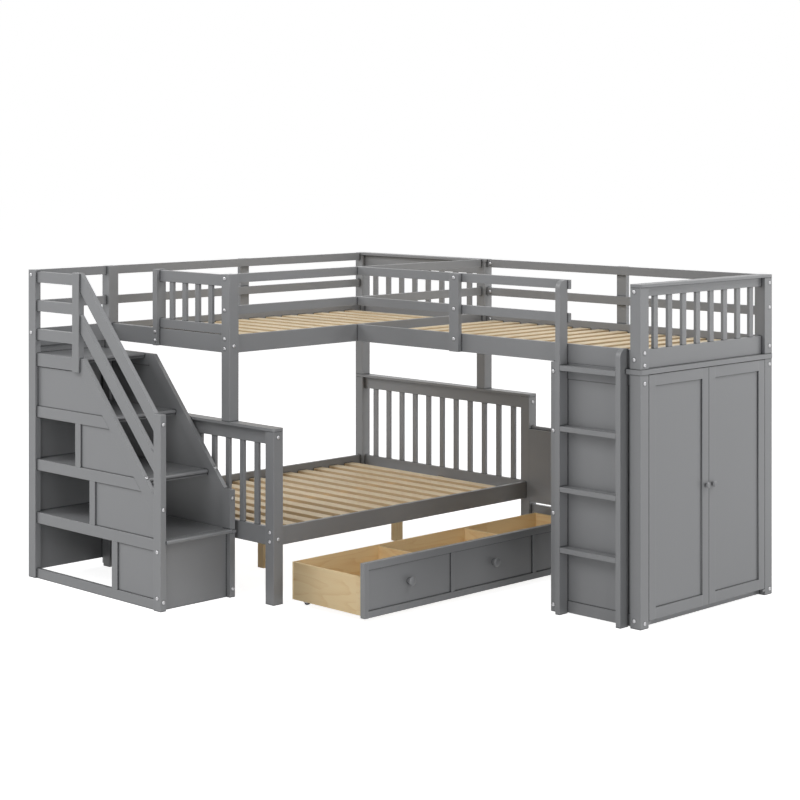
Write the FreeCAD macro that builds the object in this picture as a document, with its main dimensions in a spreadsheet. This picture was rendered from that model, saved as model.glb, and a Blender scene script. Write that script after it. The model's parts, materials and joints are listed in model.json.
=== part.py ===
"""L-shaped bunk bed: a twin bunk over a full bed, a twin loft over a wardrobe,
a storage staircase, a ladder and a rolling drawer.

Millimetres, +Z up.  X runs along the loft arm, Y along the bunk arm.  The origin
is the bottom centre of the whole bed with the drawer pulled out.
"""
import FreeCAD, Part
import math
import os
from types import SimpleNamespace

import Sketcher

DIMENSIONS = [
    # overall plan
    ("origin_x", 1532), ("origin_y", 1249.25), ("post", 63), ("post_top", 1650),
    ("lower_width", 1441), ("arm_width", 1095), ("bed_near", 486), ("bed_length", 2006),
    ("total_length", 3052), ("rail_thick", 22), ("seat", 2),
    # heights of the horizontal boards
    ("board_height", 93), ("upper_rail_z", 1241), ("lower_rail_z", 294),
    ("guard_mid_z", 1439), ("guard_top_z", 1604), ("guard_height", 46),
    ("cap_z", 876), ("cap_thick", 14), ("cap_over", 4), ("cap_round", 14), ("head_rail", 71),
    ("upper_cap_z", 1636), ("upper_cap_thick", 14), ("upper_head_rail", 46),
    # spindles
    ("spindle_width", 33), ("spindle_thick", 16), ("spindle_pitch", 113.8),
    ("foot_gap", 81), ("entry_gap", 79), ("entry_pitch", 108.2),
    # slats and their support
    ("slat_width", 72), ("slat_thick", 18), ("slat_pitch", 129), ("loft_slat_pitch", 131),
    ("slat_drop", 38), ("ledger", 20), ("beam_width", 48), ("beam_low", 291), ("leg_inset", 560),
    ("leg_spread", 1031.5),
    # guard stiles and the entry of the bunk arm
    ("stile_thick", 27), ("stile_width", 65), ("bunk_stile_y", 1471), ("loft_stile_x", 1797),
    ("loft_back_stile_x", 2048), ("entry_stile_x", 453), ("entry_stile_width", 38),
    ("entry_stile_depth", 61),
    ("entry_rail", 52), ("entry_head", 60), ("entry_drop", 4), ("loft_guard_end", 2603),
    # staircase
    ("stair_post_x", 64), ("stair_post_y", 34), ("frame_front", 10), ("frame_thick", 24),
    ("panel_front", 18), ("panel_thick", 10), ("landing_post_x", 399), ("landing_post_width", 58),
    ("landing_post_z", 1132), ("near_post_x", 1090), ("near_post_top", 978), ("far_post_top", 552),
    ("landing_guard_z", 1276), ("landing_guard_pitch", 153.5),
    ("far_frame_y", 446), ("stair_foot_rail", 51),
    ("stair_rail", 58), ("first_rail_top", 353), ("rise", 284), ("landing_rail_z", 1136),
    ("tread_drop", 3), ("tread_thick", 18), ("tread_low_x", 1158), ("tread_mid_x", 962),
    ("tread_high_x", 694), ("landing_x", 426), ("riser_thick", 15), ("riser_set_back", 38),
    ("nose_low", 4), ("nose_high", 6), ("groove_first", 22), ("groove_pitch", 12), ("groove_width", 4),
    ("groove_depth", 2), ("nosing_depth", 22), ("nosing_height", 10), ("nosing_set_back", 4),
    ("stringer_flat_x", 485), ("stringer_top", 1204), ("stringer_slope", 1.068),
    ("far_flat_x", 500), ("far_top", 1198), ("far_slope", 1.0906), ("stringer_drop", 103),
    ("left_panel_x", 10), ("left_panel_thick", 18),
    ("panel_foot", 37), ("leg_width", 58), ("stair_stile", 46),
    ("stile_high_x", 413), ("stile_mid_x", 539), ("stile_low_x", 731),
    ("hand_slope", 1.065), ("hand_high", 1654), ("hand_high_drop", 103),
    ("hand_low", 1434), ("hand_low_slope", 1.052), ("hand_low_drop", 96),
    # ladder
    ("ladder_x", 2553), ("ladder_front", 1356), ("ladder_thick", 28), ("ladder_depth", 61.5),
    ("ladder_width", 408), ("ladder_short", 1338), ("ladder_round", 42), ("rung_height", 25),
    ("rung_depth", 56), ("rung_low", 309), ("rung_pitch", 299),
    # wardrobe
    ("wardrobe_x", 2490), ("wardrobe_top", 1218), ("top_thick", 23), ("top_over", 5),
    ("top_round", 14), ("top_notch_x", 2966), ("notch_gap", 2), ("side_front", 20.5), ("side_thick", 20),
    ("side_rail", 57), ("side_foot", 4), ("side_panel_thick", 10), ("back_x", 2510),
    ("back_thick", 12), ("base_z", 33), ("base_thick", 18), ("plinth_x", 2998), ("plinth_thick", 20),
    ("plinth_low", 3), ("rod_radius", 12), ("rod_z", 1110), ("rod_x", 2765),
    ("door_x", 3032), ("door_thick", 20), ("door_low", 36), ("door_high", 1214), ("door_gap", 3),
    ("door_stile", 52), ("door_rail", 54), ("door_panel_thick", 8), ("door_recess", 8),
    ("pivot_inset", 5), ("pivot_radius", 3), ("pivot_play", 0.05), ("pivot_reach", 8),
    ("pivot_end_gap", 1),
    ("bracket", 18), ("bracket_thick", 12), ("door_knob_radius", 15),
    ("door_knob_length", 23), ("door_knob_z", 632),
    # panel between the headboard and the wardrobe
    ("link_panel_z", 275), ("link_panel_height", 415), ("link_low_z", 166), ("link_high_z", 614),
    # rolling drawer
    ("drawer_out", 589), ("drawer_y", 552), ("drawer_length", 1872), ("front_low", 23),
    ("front_height", 268), ("front_thick", 28), ("front_edge", 27), ("front_rail_top", 35),
    ("front_rail_low", 33), ("front_stile", 24), ("front_stile_offset", 313),
    ("front_panel_thick", 14), ("front_recess", 8), ("box_y", 559), ("box_low", 33),
    ("box_height", 189), ("box_depth", 502), ("board", 12), ("end_strip", 38),
    ("bottom_low", 45), ("bottom_thick", 8),
    ("drawer_divider_offset", 330), ("divider_top", 216), ("knob_offset", 622), ("drawer_knob_z", 160),
    ("drawer_knob_radius", 19), ("drawer_knob_length", 33),
    ("wheel_radius", 18), ("wheel_width", 18), ("wheel_chamfer", 2), ("axle_radius", 3), ("axle_play", 0.05),
    ("wheel_inset_y", 66), ("wheel_back", 40), ("wheel_front", 460), ("fork_gap", 2),
    ("fork_thick", 2), ("fork_plate", 3), ("fork_half", 14), ("fork_low", 12),
    # bolts
    ("bolt_radius", 10), ("bolt_height", 4.5), ("slope_bolt_x", 1006), ("bolt_outer_x", 24),
    ("bolt_inset", 30),
    ("bolt_near_y", 18), ("bolt_far_y", 466), ("bolt_entry", 22), ("bolt_front_inset", 38),
    ("bolt_stile", 33), ("bolt_back_x", 26), ("bolt_loft_inset", 40), ("bolt_loft_far", 22),
    ("bolt_wardrobe_x", 16),
]

# how many of each repeated board there are
END_SPINDLES, ARM_SPINDLES, ENTRY_SPINDLES, SLATS, RUNGS = 11, 8, 4, 14, 4
CENTRE_LEGS, LANDING_GUARDS, TREAD_GROOVES = 2, 3, 3

# two lengths closer than this are the same
SAME = 1e-6

# half profile of a knob, foot to crown, as shares of its length and of its radius
KNOB_PROFILE = ((0, 0.52), (0.34, 0.38), (0.56, 0.92), (0.74, 1), (1, 0.62))

# heights of the bolt heads on each upright member
BOLT_Z = {
    "stair_outer": (1313, 1623), "stair_near_front": (64, 294), "stair_near_side": (46, 505, 929),
    "stair_far_side": (44, 507), "bed_end": (318, 365), "lower_side": (330, 844),
    "left_side": (330, 844, 1288, 1616), "entry_stile": (1268, 1315), "bunk_front": (1264, 1315, 1464, 1627),
    "bunk_side": (1279,), "guard_stile": (1307, 1464, 1627), "bunk_back_inside": (1301, 1461, 1626),
    "loft_front": (38, 1288, 1614), "loft_near_side": (26, 1175, 1262, 1321),
    "loft_far_side": (28, 1188, 1282, 1481, 1608), "wardrobe_left": (35, 490, 899, 1193),
    "bunk_back": (1264, 1315), "loft_back": (38, 1180, 1288, 1464),
}

doc = FreeCAD.newDocument("l_shaped_bunk_bed")
nodes = []


class Dim:
    """A length that carries its value and the sheet expression that drives it."""

    def __init__(self, value, text):
        self.value = float(value)
        self.text = text

    def _join(self, other, sign, value):
        return Dim(value, "(%s %s %s)" % (self.text, sign, dim(other).text))

    def __add__(self, other):
        return self._join(other, "+", self.value + dim(other).value)

    def __sub__(self, other):
        return self._join(other, "-", self.value - dim(other).value)

    def __mul__(self, other):
        return self._join(other, "*", self.value * dim(other).value)

    def __truediv__(self, other):
        return self._join(other, "/", self.value / dim(other).value)


def dim(value):
    """A plain number as a Dim."""
    return value if isinstance(value, Dim) else Dim(value, "%.6g" % value)


def make_sheet():
    """The spreadsheet that holds every driving dimension."""
    sheet = doc.addObject("Spreadsheet::Sheet", "dims")
    table = SimpleNamespace()
    for row, (name, value) in enumerate(DIMENSIONS, start=1):
        sheet.set("A%d" % row, name)
        sheet.set("B%d" % row, "%.6g" % value)
        sheet.setAlias("B%d" % row, name)
        setattr(table, name, Dim(value, "dims." + name))
    doc.recompute()
    return table


S = make_sheet()
BED_FAR = S.bed_near + S.bed_length
LOFT_NEAR = BED_FAR - S.arm_width
RAIL_INSET = (S.post - S.rail_thick) / 2
SPINDLE_INSET = (S.post - S.spindle_thick) / 2
LOWER_RAIL_TOP = S.lower_rail_z + S.board_height
UPPER_RAIL_TOP = S.upper_rail_z + S.board_height
NEAR_SLOPE = (S.stringer_flat_x, S.stringer_top, S.stringer_slope)
FAR_SLOPE = (S.far_flat_x, S.far_top, S.far_slope)
FAR_BOARD_Y = S.far_frame_y + S.frame_front


# ---------------------------------------------------------------- helpers
def put(obj, at):
    for axis, value in zip("xyz", at):
        obj.setExpression("Placement.Base." + axis, dim(value).text)
    return obj


def box(name, at, size):
    """A square-edged board."""
    obj = doc.addObject("Part::Box", name)
    for prop, value in zip(("Length", "Width", "Height"), size):
        obj.setExpression(prop, dim(value).text)
    return put(obj, at)


def cylinder(name, at, radius, length, turn=(0, 0, 1, 0)):
    obj = doc.addObject("Part::Cylinder", name)
    obj.setExpression("Radius", dim(radius).text)
    obj.setExpression("Height", dim(length).text)
    axis = FreeCAD.Vector(*turn[:3])
    obj.Placement = FreeCAD.Placement(FreeCAD.Vector(), FreeCAD.Rotation(axis, turn[3]))
    return put(obj, at)


def node(obj, label, at):
    """Registers one sub-part and places it from the bed's near left corner."""
    obj.Label = label
    put(obj, (dim(at[0]) - S.origin_x, dim(at[1]) - S.origin_y, dim(at[2])))
    nodes.append(obj)
    return obj


def group(label, at, members):
    """One sub-part made of separate solids, placed together."""
    obj = doc.addObject("Part::Compound", label)
    obj.Links = members
    return node(obj, label, at)


def cut(name, base, tools):
    result = base
    for index, tool in enumerate(tools):
        step = doc.addObject("Part::Cut", "%s_cut%d" % (name, index))
        step.Base = result
        step.Tool = tool
        result = step
    return result


def rounded(points):
    """Splits each (x, y, r) corner of a square-cornered outline into two vertices."""
    corners = []
    count = len(points)
    for index, point in enumerate(points):
        if len(point) == 2:
            corners.append((point, None))
            continue
        x, y, radius = point
        before, after = points[index - 1], points[(index + 1) % count]
        first = toward(x, y, before, radius)
        second = toward(x, y, after, radius)
        corners.append((first, (x, y, radius)))
        corners.append((second, None))
    return corners


def toward(x, y, target, radius):
    """The point one radius away from a corner, in the direction of its neighbour."""
    dx = dim(target[0]).value - dim(x).value
    dy = dim(target[1]).value - dim(y).value
    if abs(dx) > abs(dy):
        return (dim(x) + radius if dx > 0 else dim(x) - radius, dim(y))
    return (dim(x), dim(y) + radius if dy > 0 else dim(y) - radius)


def arc_between(first, second, corner):
    """The quarter arc that rounds one corner, as a circle arc through three points."""
    x, y, radius = (dim(value).value for value in corner)
    start = FreeCAD.Vector(dim(first[0]).value, dim(first[1]).value, 0)
    end = FreeCAD.Vector(dim(second[0]).value, dim(second[1]).value, 0)
    apex = FreeCAD.Vector(x, y, 0)
    centre = start + end - apex
    middle = centre + (apex - centre).normalize() * radius
    return Part.Arc(start, middle, end)


def outline(sketch, points):
    """Draws a closed outline whose vertices are all driven by the sheet."""
    corners = rounded(points)
    count = len(corners)
    for index in range(count):
        first, corner = corners[index]
        second = corners[(index + 1) % count][0]
        start = FreeCAD.Vector(dim(first[0]).value, dim(first[1]).value, 0)
        end = FreeCAD.Vector(dim(second[0]).value, dim(second[1]).value, 0)
        edge = arc_between(first, second, corner) if corner else Part.LineSegment(start, end)
        sketch.addGeometry(edge, False)
    hold_vertices(sketch, corners)


def hold_vertices(sketch, corners):
    count = len(corners)
    starts = []
    for index in range(count):
        geometry = sketch.Geometry[index]
        is_arc = corners[index][1] is not None
        point = FreeCAD.Vector(dim(corners[index][0][0]).value, dim(corners[index][0][1]).value, 0)
        swapped = is_arc and (geometry.StartPoint - point).Length > SAME
        starts.append(2 if swapped else 1)
    for index in range(count):
        following = (index + 1) % count
        end = 1 if starts[index] == 2 else 2
        sketch.addConstraint(Sketcher.Constraint("Coincident", index, end, following, starts[following]))
    for index in range(count):
        x, y = corners[index][0]
        hold_vertex(sketch, index, starts[index], dim(x), dim(y))
        if corners[index][1] is not None:
            radius = dim(corners[index][1][2])
            row = sketch.addConstraint(Sketcher.Constraint("Radius", index, radius.value))
            sketch.setExpression("Constraints[%d]" % row, radius.text)


def hold_vertex(sketch, index, end, x, y):
    for kind, axis, value in (("DistanceX", -2, x), ("DistanceY", -1, y)):
        if abs(value.value) < SAME:
            sketch.addConstraint(Sketcher.Constraint("PointOnObject", index, end, axis))
            continue
        row = sketch.addConstraint(Sketcher.Constraint(kind, -1, 1, index, end, value.value))
        sketch.setExpression("Constraints[%d]" % row, value.text)


def sketch_on(body, name, role):
    sketch = body.newObject("Sketcher::SketchObject", name)
    plane = [item for item in body.Origin.OriginFeatures if item.Role == role][0]
    sketch.AttachmentSupport = [(plane, "")]
    sketch.MapMode = "FlatFace"
    return sketch


def prism(name, role, points, depth, at=(0, 0, 0)):
    """A body padded from an outline on one origin plane, towards +X, +Y or +Z."""
    body = doc.addObject("PartDesign::Body", name)
    sketch = sketch_on(body, name + "_outline", role)
    outline(sketch, points)
    pad = body.newObject("PartDesign::Pad", name + "_pad")
    pad.Profile = sketch
    pad.setExpression("Length", dim(depth).text)
    pad.Reversed = role == "XZ_Plane"
    body.Tip = pad
    return put(body, at)


def turned(name, points, axis_name, at, turn=(0, 0, 1, 0)):
    """A body revolved from a half profile."""
    body = doc.addObject("PartDesign::Body", name)
    role = "XZ_Plane" if axis_name == "V_Axis" else "YZ_Plane"
    sketch = sketch_on(body, name + "_profile", role)
    outline(sketch, points)
    spin = body.newObject("PartDesign::Revolution", name + "_spin")
    spin.Profile = sketch
    spin.ReferenceAxis = (sketch, [axis_name])
    spin.Angle = 360
    body.Tip = spin
    axis = FreeCAD.Vector(*turn[:3])
    body.Placement = FreeCAD.Placement(FreeCAD.Vector(), FreeCAD.Rotation(axis, turn[3]))
    return put(body, at)


def row_x(prefix, count, first, pitch, y, z, size):
    """Equal boards in a row along X."""
    return [box("%s_%d" % (prefix, k + 1), (dim(first) + dim(pitch) * k, y, z), size) for k in range(count)]


def row_y(prefix, count, first, pitch, x, z, size):
    """Equal boards in a row along Y."""
    return [box("%s_%d" % (prefix, k + 1), (x, dim(first) + dim(pitch) * k, z), size) for k in range(count)]


def centred_first(low, high, count, pitch, width):
    """Start of the first board of a row that is centred between two faces."""
    return (dim(low) + high - (dim(pitch) * (count - 1) + width)) / 2


# ---------------------------------------------------------------- lower bed
def lower_bed():
    far = S.bed_length - S.post
    right = S.lower_width - S.post
    size = (S.post, S.post, S.cap_z)
    corners = [(0, 0), (right, 0), (0, far), (right, far)]
    posts = [box("lower_post_%d" % k, (x, y, 0), size) for k, (x, y) in enumerate(corners, start=1)]
    group("lower_bed_posts", (0, S.bed_near, 0), posts)
    group("lower_bed_caps", (0, S.bed_near, S.cap_z), [
        cap("foot_cap", S.lower_width, S.post, S.cap_thick, (0, 0)),
        cap("head_cap", S.lower_width, S.post, S.cap_thick, (0, far)),
    ])
    lower_end_frames(far)
    lower_side_rails()
    lower_slats()


def cap(name, length, width, thick, corner):
    """A cap board with rounded corners that overhangs the frame below it."""
    x = dim(corner[0]) - S.cap_over
    y = dim(corner[1]) - S.cap_over
    long_side = dim(length) + S.cap_over * 2
    short_side = dim(width) + S.cap_over * 2
    r = S.cap_round
    points = [(0, 0, r), (long_side, 0, r), (long_side, short_side, r), (0, short_side, r)]
    return prism(name, "XY_Plane", points, thick, (x, y, 0))


def lower_end_frames(far):
    width = S.lower_width - S.post * 2
    thick = S.rail_thick
    rails, spindles = [], []
    centred = centred_first(S.post, S.lower_width - S.post, END_SPINDLES, S.spindle_pitch, S.spindle_width)
    from_right = S.lower_width - S.post - S.foot_gap - S.spindle_width - S.spindle_pitch * (END_SPINDLES - 1)
    low = LOWER_RAIL_TOP
    high = S.cap_z - S.head_rail
    size = (S.spindle_width, S.spindle_thick, high - low)
    for name, y, first in (("foot", dim(0), from_right), ("head", far, centred)):
        at_y = y + RAIL_INSET
        spindle_y = y + SPINDLE_INSET
        rails.append(box(name + "_low_rail", (S.post, at_y, S.lower_rail_z), (width, thick, S.board_height)))
        rails.append(box(name + "_top_rail", (S.post, at_y, high), (width, thick, S.head_rail)))
        spindles += row_x(name + "_spindle", END_SPINDLES, first, S.spindle_pitch, spindle_y, low, size)
    group("lower_bed_end_rails", (0, S.bed_near, 0), rails)
    group("lower_bed_spindles", (0, S.bed_near, 0), spindles)


def lower_side_rails():
    length = S.bed_length - S.post * 2
    size = (S.rail_thick, length, S.board_height)
    right = S.lower_width - RAIL_INSET - S.rail_thick
    rails = [box("lower_left_rail", (RAIL_INSET, 0, 0), size), box("lower_right_rail", (right, 0, 0), size)]
    group("lower_bed_side_rails", (0, S.bed_near + S.post, S.lower_rail_z), rails)


def lower_slats():
    low = LOWER_RAIL_TOP - S.slat_drop - S.slat_thick
    inner = RAIL_INSET + S.rail_thick
    length = S.lower_width - inner * 2 - S.seat * 2
    first = centred_first(0, S.bed_length, SLATS, S.slat_pitch, S.slat_width)
    slats = row_y("lower_slat", SLATS, first, S.slat_pitch, 0, 0, (length, S.slat_width, S.slat_thick))
    group("lower_bed_slats", (inner + S.seat, S.bed_near, low), slats)
    beam_x = (S.lower_width - S.beam_width) / 2
    beam_y = RAIL_INSET + S.rail_thick
    beam_size = (S.beam_width, S.bed_length - beam_y * 2, low - S.beam_low)
    beam = box("centre_beam", (beam_x, beam_y, S.beam_low), beam_size)
    legs = row_y("centre_leg", CENTRE_LEGS, S.leg_inset - S.beam_width / 2, S.leg_spread, beam_x, 0,
                 (S.beam_width, S.beam_width, S.beam_low))
    group("centre_support", (0, S.bed_near, 0), [beam] + legs)


# ---------------------------------------------------------------- upper bunk (arm along Y)
def bunk_posts():
    low = S.cap_z + S.cap_thick
    front = S.arm_width - S.post
    far = S.bed_length - S.post
    near_size = (S.post, S.post, S.post_top - low)
    far_size = (S.post, S.post, S.upper_cap_z - low)
    group("bunk_posts", (0, S.bed_near, low), [
        box("bunk_post_near_left", (0, 0, 0), near_size),
        box("bunk_post_near_front", (front, 0, 0), near_size),
        box("bunk_post_far_left", (0, far, 0), far_size),
        box("bunk_post_far_front", (front, far, 0), far_size),
    ])


def bunk_rails():
    length = S.bed_length - S.post * 2
    front = S.arm_width - RAIL_INSET - S.rail_thick
    z = S.upper_rail_z
    side = (S.rail_thick, length, S.board_height)
    end = (S.arm_width - S.post * 2, S.rail_thick, S.board_height)
    group("bunk_bed_rails", (0, S.bed_near, z), [
        box("bunk_rail_left", (RAIL_INSET, S.post, 0), side),
        box("bunk_rail_front", (front, S.post, 0), side),
        box("bunk_rail_near", (S.post, RAIL_INSET, 0), end),
        box("bunk_rail_far", (S.post, S.bed_length - RAIL_INSET - S.rail_thick, 0), end),
    ])
    guards = []
    for name, x in (("left", RAIL_INSET), ("front", front)):
        for level, height, trim in (("mid", S.guard_mid_z, 0), ("top", S.guard_top_z, S.cap_over)):
            guard = (S.rail_thick, length - trim, S.guard_height)
            guards.append(box("bunk_guard_%s_%s" % (name, level), (x, S.post, height - z), guard))
    group("bunk_guard_rails", (0, S.bed_near, z), guards)


def bunk_end_panels():
    far = S.bed_length - S.post
    width = S.arm_width - S.post * 2
    thick = S.rail_thick
    entry_low = UPPER_RAIL_TOP
    entry_x = S.entry_stile_x + S.entry_stile_width
    entry_width = S.arm_width - S.post - entry_x
    entry_high = S.post_top - S.entry_drop - S.entry_head
    far_high = S.upper_cap_z - S.upper_head_rail
    group("bunk_end_rails", (0, S.bed_near, 0), [
        box("entry_low_rail", (entry_x, RAIL_INSET, entry_low), (entry_width, thick, S.entry_rail)),
        box("entry_top_rail", (entry_x, RAIL_INSET, entry_high), (entry_width, thick, S.entry_head)),
        box("bunk_far_top_rail", (S.post, far + RAIL_INSET, far_high), (width, thick, S.upper_head_rail)),
    ])
    low = entry_low + S.entry_rail
    entry = row_x("entry_spindle", ENTRY_SPINDLES, entry_x + S.entry_gap, S.entry_pitch, SPINDLE_INSET, low,
                  (S.spindle_width, S.spindle_thick, entry_high - low))
    first = centred_first(S.post, S.arm_width - S.post, ARM_SPINDLES, S.spindle_pitch, S.spindle_width)
    far_y = far + SPINDLE_INSET
    back = row_x("bunk_far_spindle", ARM_SPINDLES, first, S.spindle_pitch, far_y, UPPER_RAIL_TOP,
                 (S.spindle_width, S.spindle_thick, far_high - UPPER_RAIL_TOP))
    group("bunk_spindles", (0, S.bed_near, 0), entry + back)


def entry_stile():
    """The post beside the stair entry, notched over the near bed rail."""
    height = S.post_top - S.upper_rail_z
    step = RAIL_INSET
    depth = S.entry_stile_depth
    shoulder = S.board_height
    points = [(0, 0), (step, 0), (step, shoulder), (depth, shoulder), (depth, height), (0, height)]
    body = prism("bunk_entry_stile", "YZ_Plane", points, S.entry_stile_width)
    node(body, "bunk_entry_stile", (S.entry_stile_x, S.bed_near, S.upper_rail_z))


# ---------------------------------------------------------------- loft (arm along X)
def loft_posts():
    size = (S.post, S.post, S.upper_cap_z - S.upper_rail_z)
    group("loft_posts", (S.total_length - S.post, LOFT_NEAR, S.upper_rail_z), [
        box("loft_post_near", (0, 0, 0), size),
        box("loft_post_far", (0, S.arm_width - S.post, 0), size),
    ])


def loft_rails():
    near_x = S.arm_width - RAIL_INSET
    far_x = S.arm_width
    end = S.total_length - S.post
    z = S.upper_rail_z
    far_y = S.arm_width - RAIL_INSET - S.rail_thick
    group("loft_bed_rails", (0, LOFT_NEAR, z), [
        box("loft_rail_near", (near_x, RAIL_INSET, 0), (end - near_x, S.rail_thick, S.board_height)),
        box("loft_rail_far", (far_x, far_y, 0), (end - far_x, S.rail_thick, S.board_height)),
    ])
    guards = []
    for level, height, trim in (("mid", S.guard_mid_z, dim(0)), ("top", S.guard_top_z, S.cap_over)):
        guards.append(box("loft_guard_near_" + level, (near_x, RAIL_INSET, height - z),
                          (S.loft_guard_end - near_x, S.rail_thick, S.guard_height)))
        guards.append(box("loft_guard_far_" + level, (far_x + trim, far_y, height - z),
                          (end - far_x - trim * 2, S.rail_thick, S.guard_height)))
    group("loft_guard_rails", (0, LOFT_NEAR, z), guards)


def loft_end_panel():
    high = S.upper_cap_z - S.upper_head_rail
    length = S.arm_width - S.post * 2
    x = S.post - RAIL_INSET - S.rail_thick
    group("loft_end_rails", (S.total_length - S.post, LOFT_NEAR, 0), [
        box("loft_end_low_rail", (x, S.post, S.upper_rail_z), (S.rail_thick, length, S.board_height)),
        box("loft_end_top_rail", (x, S.post, high), (S.rail_thick, length, S.upper_head_rail)),
    ])
    first = centred_first(S.post, S.arm_width - S.post, ARM_SPINDLES, S.spindle_pitch, S.spindle_width)
    spindles = row_y("loft_spindle", ARM_SPINDLES, first, S.spindle_pitch, SPINDLE_INSET, UPPER_RAIL_TOP,
                     (S.spindle_thick, S.spindle_width, high - UPPER_RAIL_TOP))
    group("loft_spindles", (S.total_length - S.post, LOFT_NEAR, 0), spindles)


def upper_caps():
    bunk = cap("bunk_cap", S.arm_width, S.post, S.upper_cap_thick, (0, BED_FAR - S.post))
    loft = cap("loft_cap", S.post, S.arm_width, S.upper_cap_thick, (S.total_length - S.post, LOFT_NEAR))
    group("upper_caps", (0, 0, S.upper_cap_z), [bunk, loft])


def guard_stiles():
    """Upright boards bolted outside the guard rails at their middle."""
    height = S.post_top - S.upper_rail_z
    out = RAIL_INSET - S.stile_thick
    loft_far = BED_FAR - RAIL_INSET
    group("guard_stiles", (0, 0, S.upper_rail_z), [
        box("bunk_stile", (out, S.bunk_stile_y, 0), (S.stile_thick, S.stile_width, height)),
        box("loft_stile_near", (S.loft_stile_x, LOFT_NEAR + out, 0), (S.stile_width, S.stile_thick, height)),
        box("loft_stile_far", (S.loft_back_stile_x, loft_far, 0), (S.stile_width, S.stile_thick, height)),
    ])


# ---------------------------------------------------------------- slats of the upper beds
def upper_slats():
    low = UPPER_RAIL_TOP - S.slat_drop - S.slat_thick
    inner = RAIL_INSET + S.rail_thick
    length = S.arm_width - inner * 2 - S.seat * 2
    first = centred_first(0, S.bed_length, SLATS, S.slat_pitch, S.slat_width)
    slats = row_y("bunk_slat", SLATS, first, S.slat_pitch, 0, 0, (length, S.slat_width, S.slat_thick))
    group("bunk_slats", (inner + S.seat, S.bed_near, low), slats)
    first = centred_first(S.arm_width, S.total_length - S.post, SLATS, S.loft_slat_pitch, S.slat_width)
    slats = row_x("loft_slat", SLATS, first, S.loft_slat_pitch, 0, 0, (S.slat_width, length, S.slat_thick))
    group("loft_slats", (0, LOFT_NEAR + inner + S.seat, low), slats)


def ledgers():
    """Strips along the inner faces of the bed rails that carry the slats."""
    upper = UPPER_RAIL_TOP - S.slat_drop - S.slat_thick - S.ledger
    lower = LOWER_RAIL_TOP - S.slat_drop - S.slat_thick - S.ledger
    inner = RAIL_INSET + S.rail_thick
    y = S.bed_near + S.post
    long_y = (S.ledger, S.bed_length - S.post * 2, S.ledger)
    near_x = S.arm_width - RAIL_INSET
    end = S.total_length - S.post
    group("slat_ledgers", (0, 0, lower), [
        box("lower_ledger_left", (inner, y, 0), long_y),
        box("lower_ledger_right", (S.lower_width - inner - S.ledger, y, 0), long_y),
        box("bunk_ledger_left", (inner, y, upper - lower), long_y),
        box("bunk_ledger_front", (S.arm_width - inner - S.ledger, y, upper - lower), long_y),
        box("loft_ledger_near", (near_x, LOFT_NEAR + inner, upper - lower),
            (end - near_x, S.ledger, S.ledger)),
        box("loft_ledger_far", (S.arm_width, BED_FAR - inner - S.ledger, upper - lower),
            (end - S.arm_width, S.ledger, S.ledger)),
    ])


# ---------------------------------------------------------------- staircase
def level_top(step):
    """Top of the side rail at one step, counted from 1."""
    return S.first_rail_top + S.rise * (step - 1)


def board_top(step):
    return level_top(step) - S.tread_drop


def slope_x(z, drop, line=NEAR_SLOPE):
    """X where a stringer's upper edge, lowered by drop, is at one height."""
    flat_x, top, slope = line
    return flat_x + (top - drop - z) / slope


def slope_z(x, drop, line=NEAR_SLOPE):
    flat_x, top, slope = line
    return top - drop - (dim(x) - flat_x) * slope


def stair_posts():
    depth = S.stair_post_y
    wide = S.landing_post_width
    group("stair_posts", (0, 0, 0), [
        box("stair_post_outer", (0, 0, 0), (S.stair_post_x, depth, S.post_top)),
        box("stair_post_landing", (S.landing_post_x, 0, S.landing_post_z),
            (wide, depth, S.post_top - S.landing_post_z)),
        box("stair_post_near", (S.near_post_x, 0, 0), (wide, depth, S.near_post_top)),
        box("stair_post_far", (S.near_post_x, S.far_frame_y, 0), (wide, depth, S.far_post_top)),
        box("stair_leg_rear", (S.stair_post_x, S.far_frame_y, 0), (S.leg_width, depth, S.landing_rail_z)),
    ])


def stair_side_frame():
    """Rails and stiles of the open side, butted to the posts and the stringer."""
    start = S.stair_post_x
    full = S.near_post_x - start
    thick = S.frame_thick
    rail = S.stair_rail
    members = [
        box("stair_rail_foot", (0, 0, 0), (full, thick, S.stair_foot_rail)),
        box("stair_rail_low", (0, 0, level_top(1) - rail), (full, thick, rail)),
        box("stair_rail_landing", (0, 0, S.landing_rail_z),
            (S.landing_post_x - start, thick, S.stringer_top - S.landing_rail_z)),
    ]
    for step, name in ((2, "stair_rail_mid"), (3, "stair_rail_high")):
        top, low = level_top(step), level_top(step) - rail
        points = [(0, low), (slope_x(low, S.stringer_drop) - start, low),
                  (slope_x(top, S.stringer_drop) - start, top), (0, top)]
        members.append(prism(name, "XZ_Plane", points, thick))
    stiles = ((S.stile_low_x, S.stair_foot_rail, level_top(1) - rail),
              (S.stile_mid_x, level_top(1), level_top(2) - rail),
              (S.stile_high_x, level_top(2), level_top(3) - rail))
    for index, (x, low, high) in enumerate(stiles, start=1):
        members.append(box("stair_stile_%d" % index, (x - start, 0, low), (S.stair_stile, thick, high - low)))
    group("stair_side_frame", (start, S.frame_front, 0), members)


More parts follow.
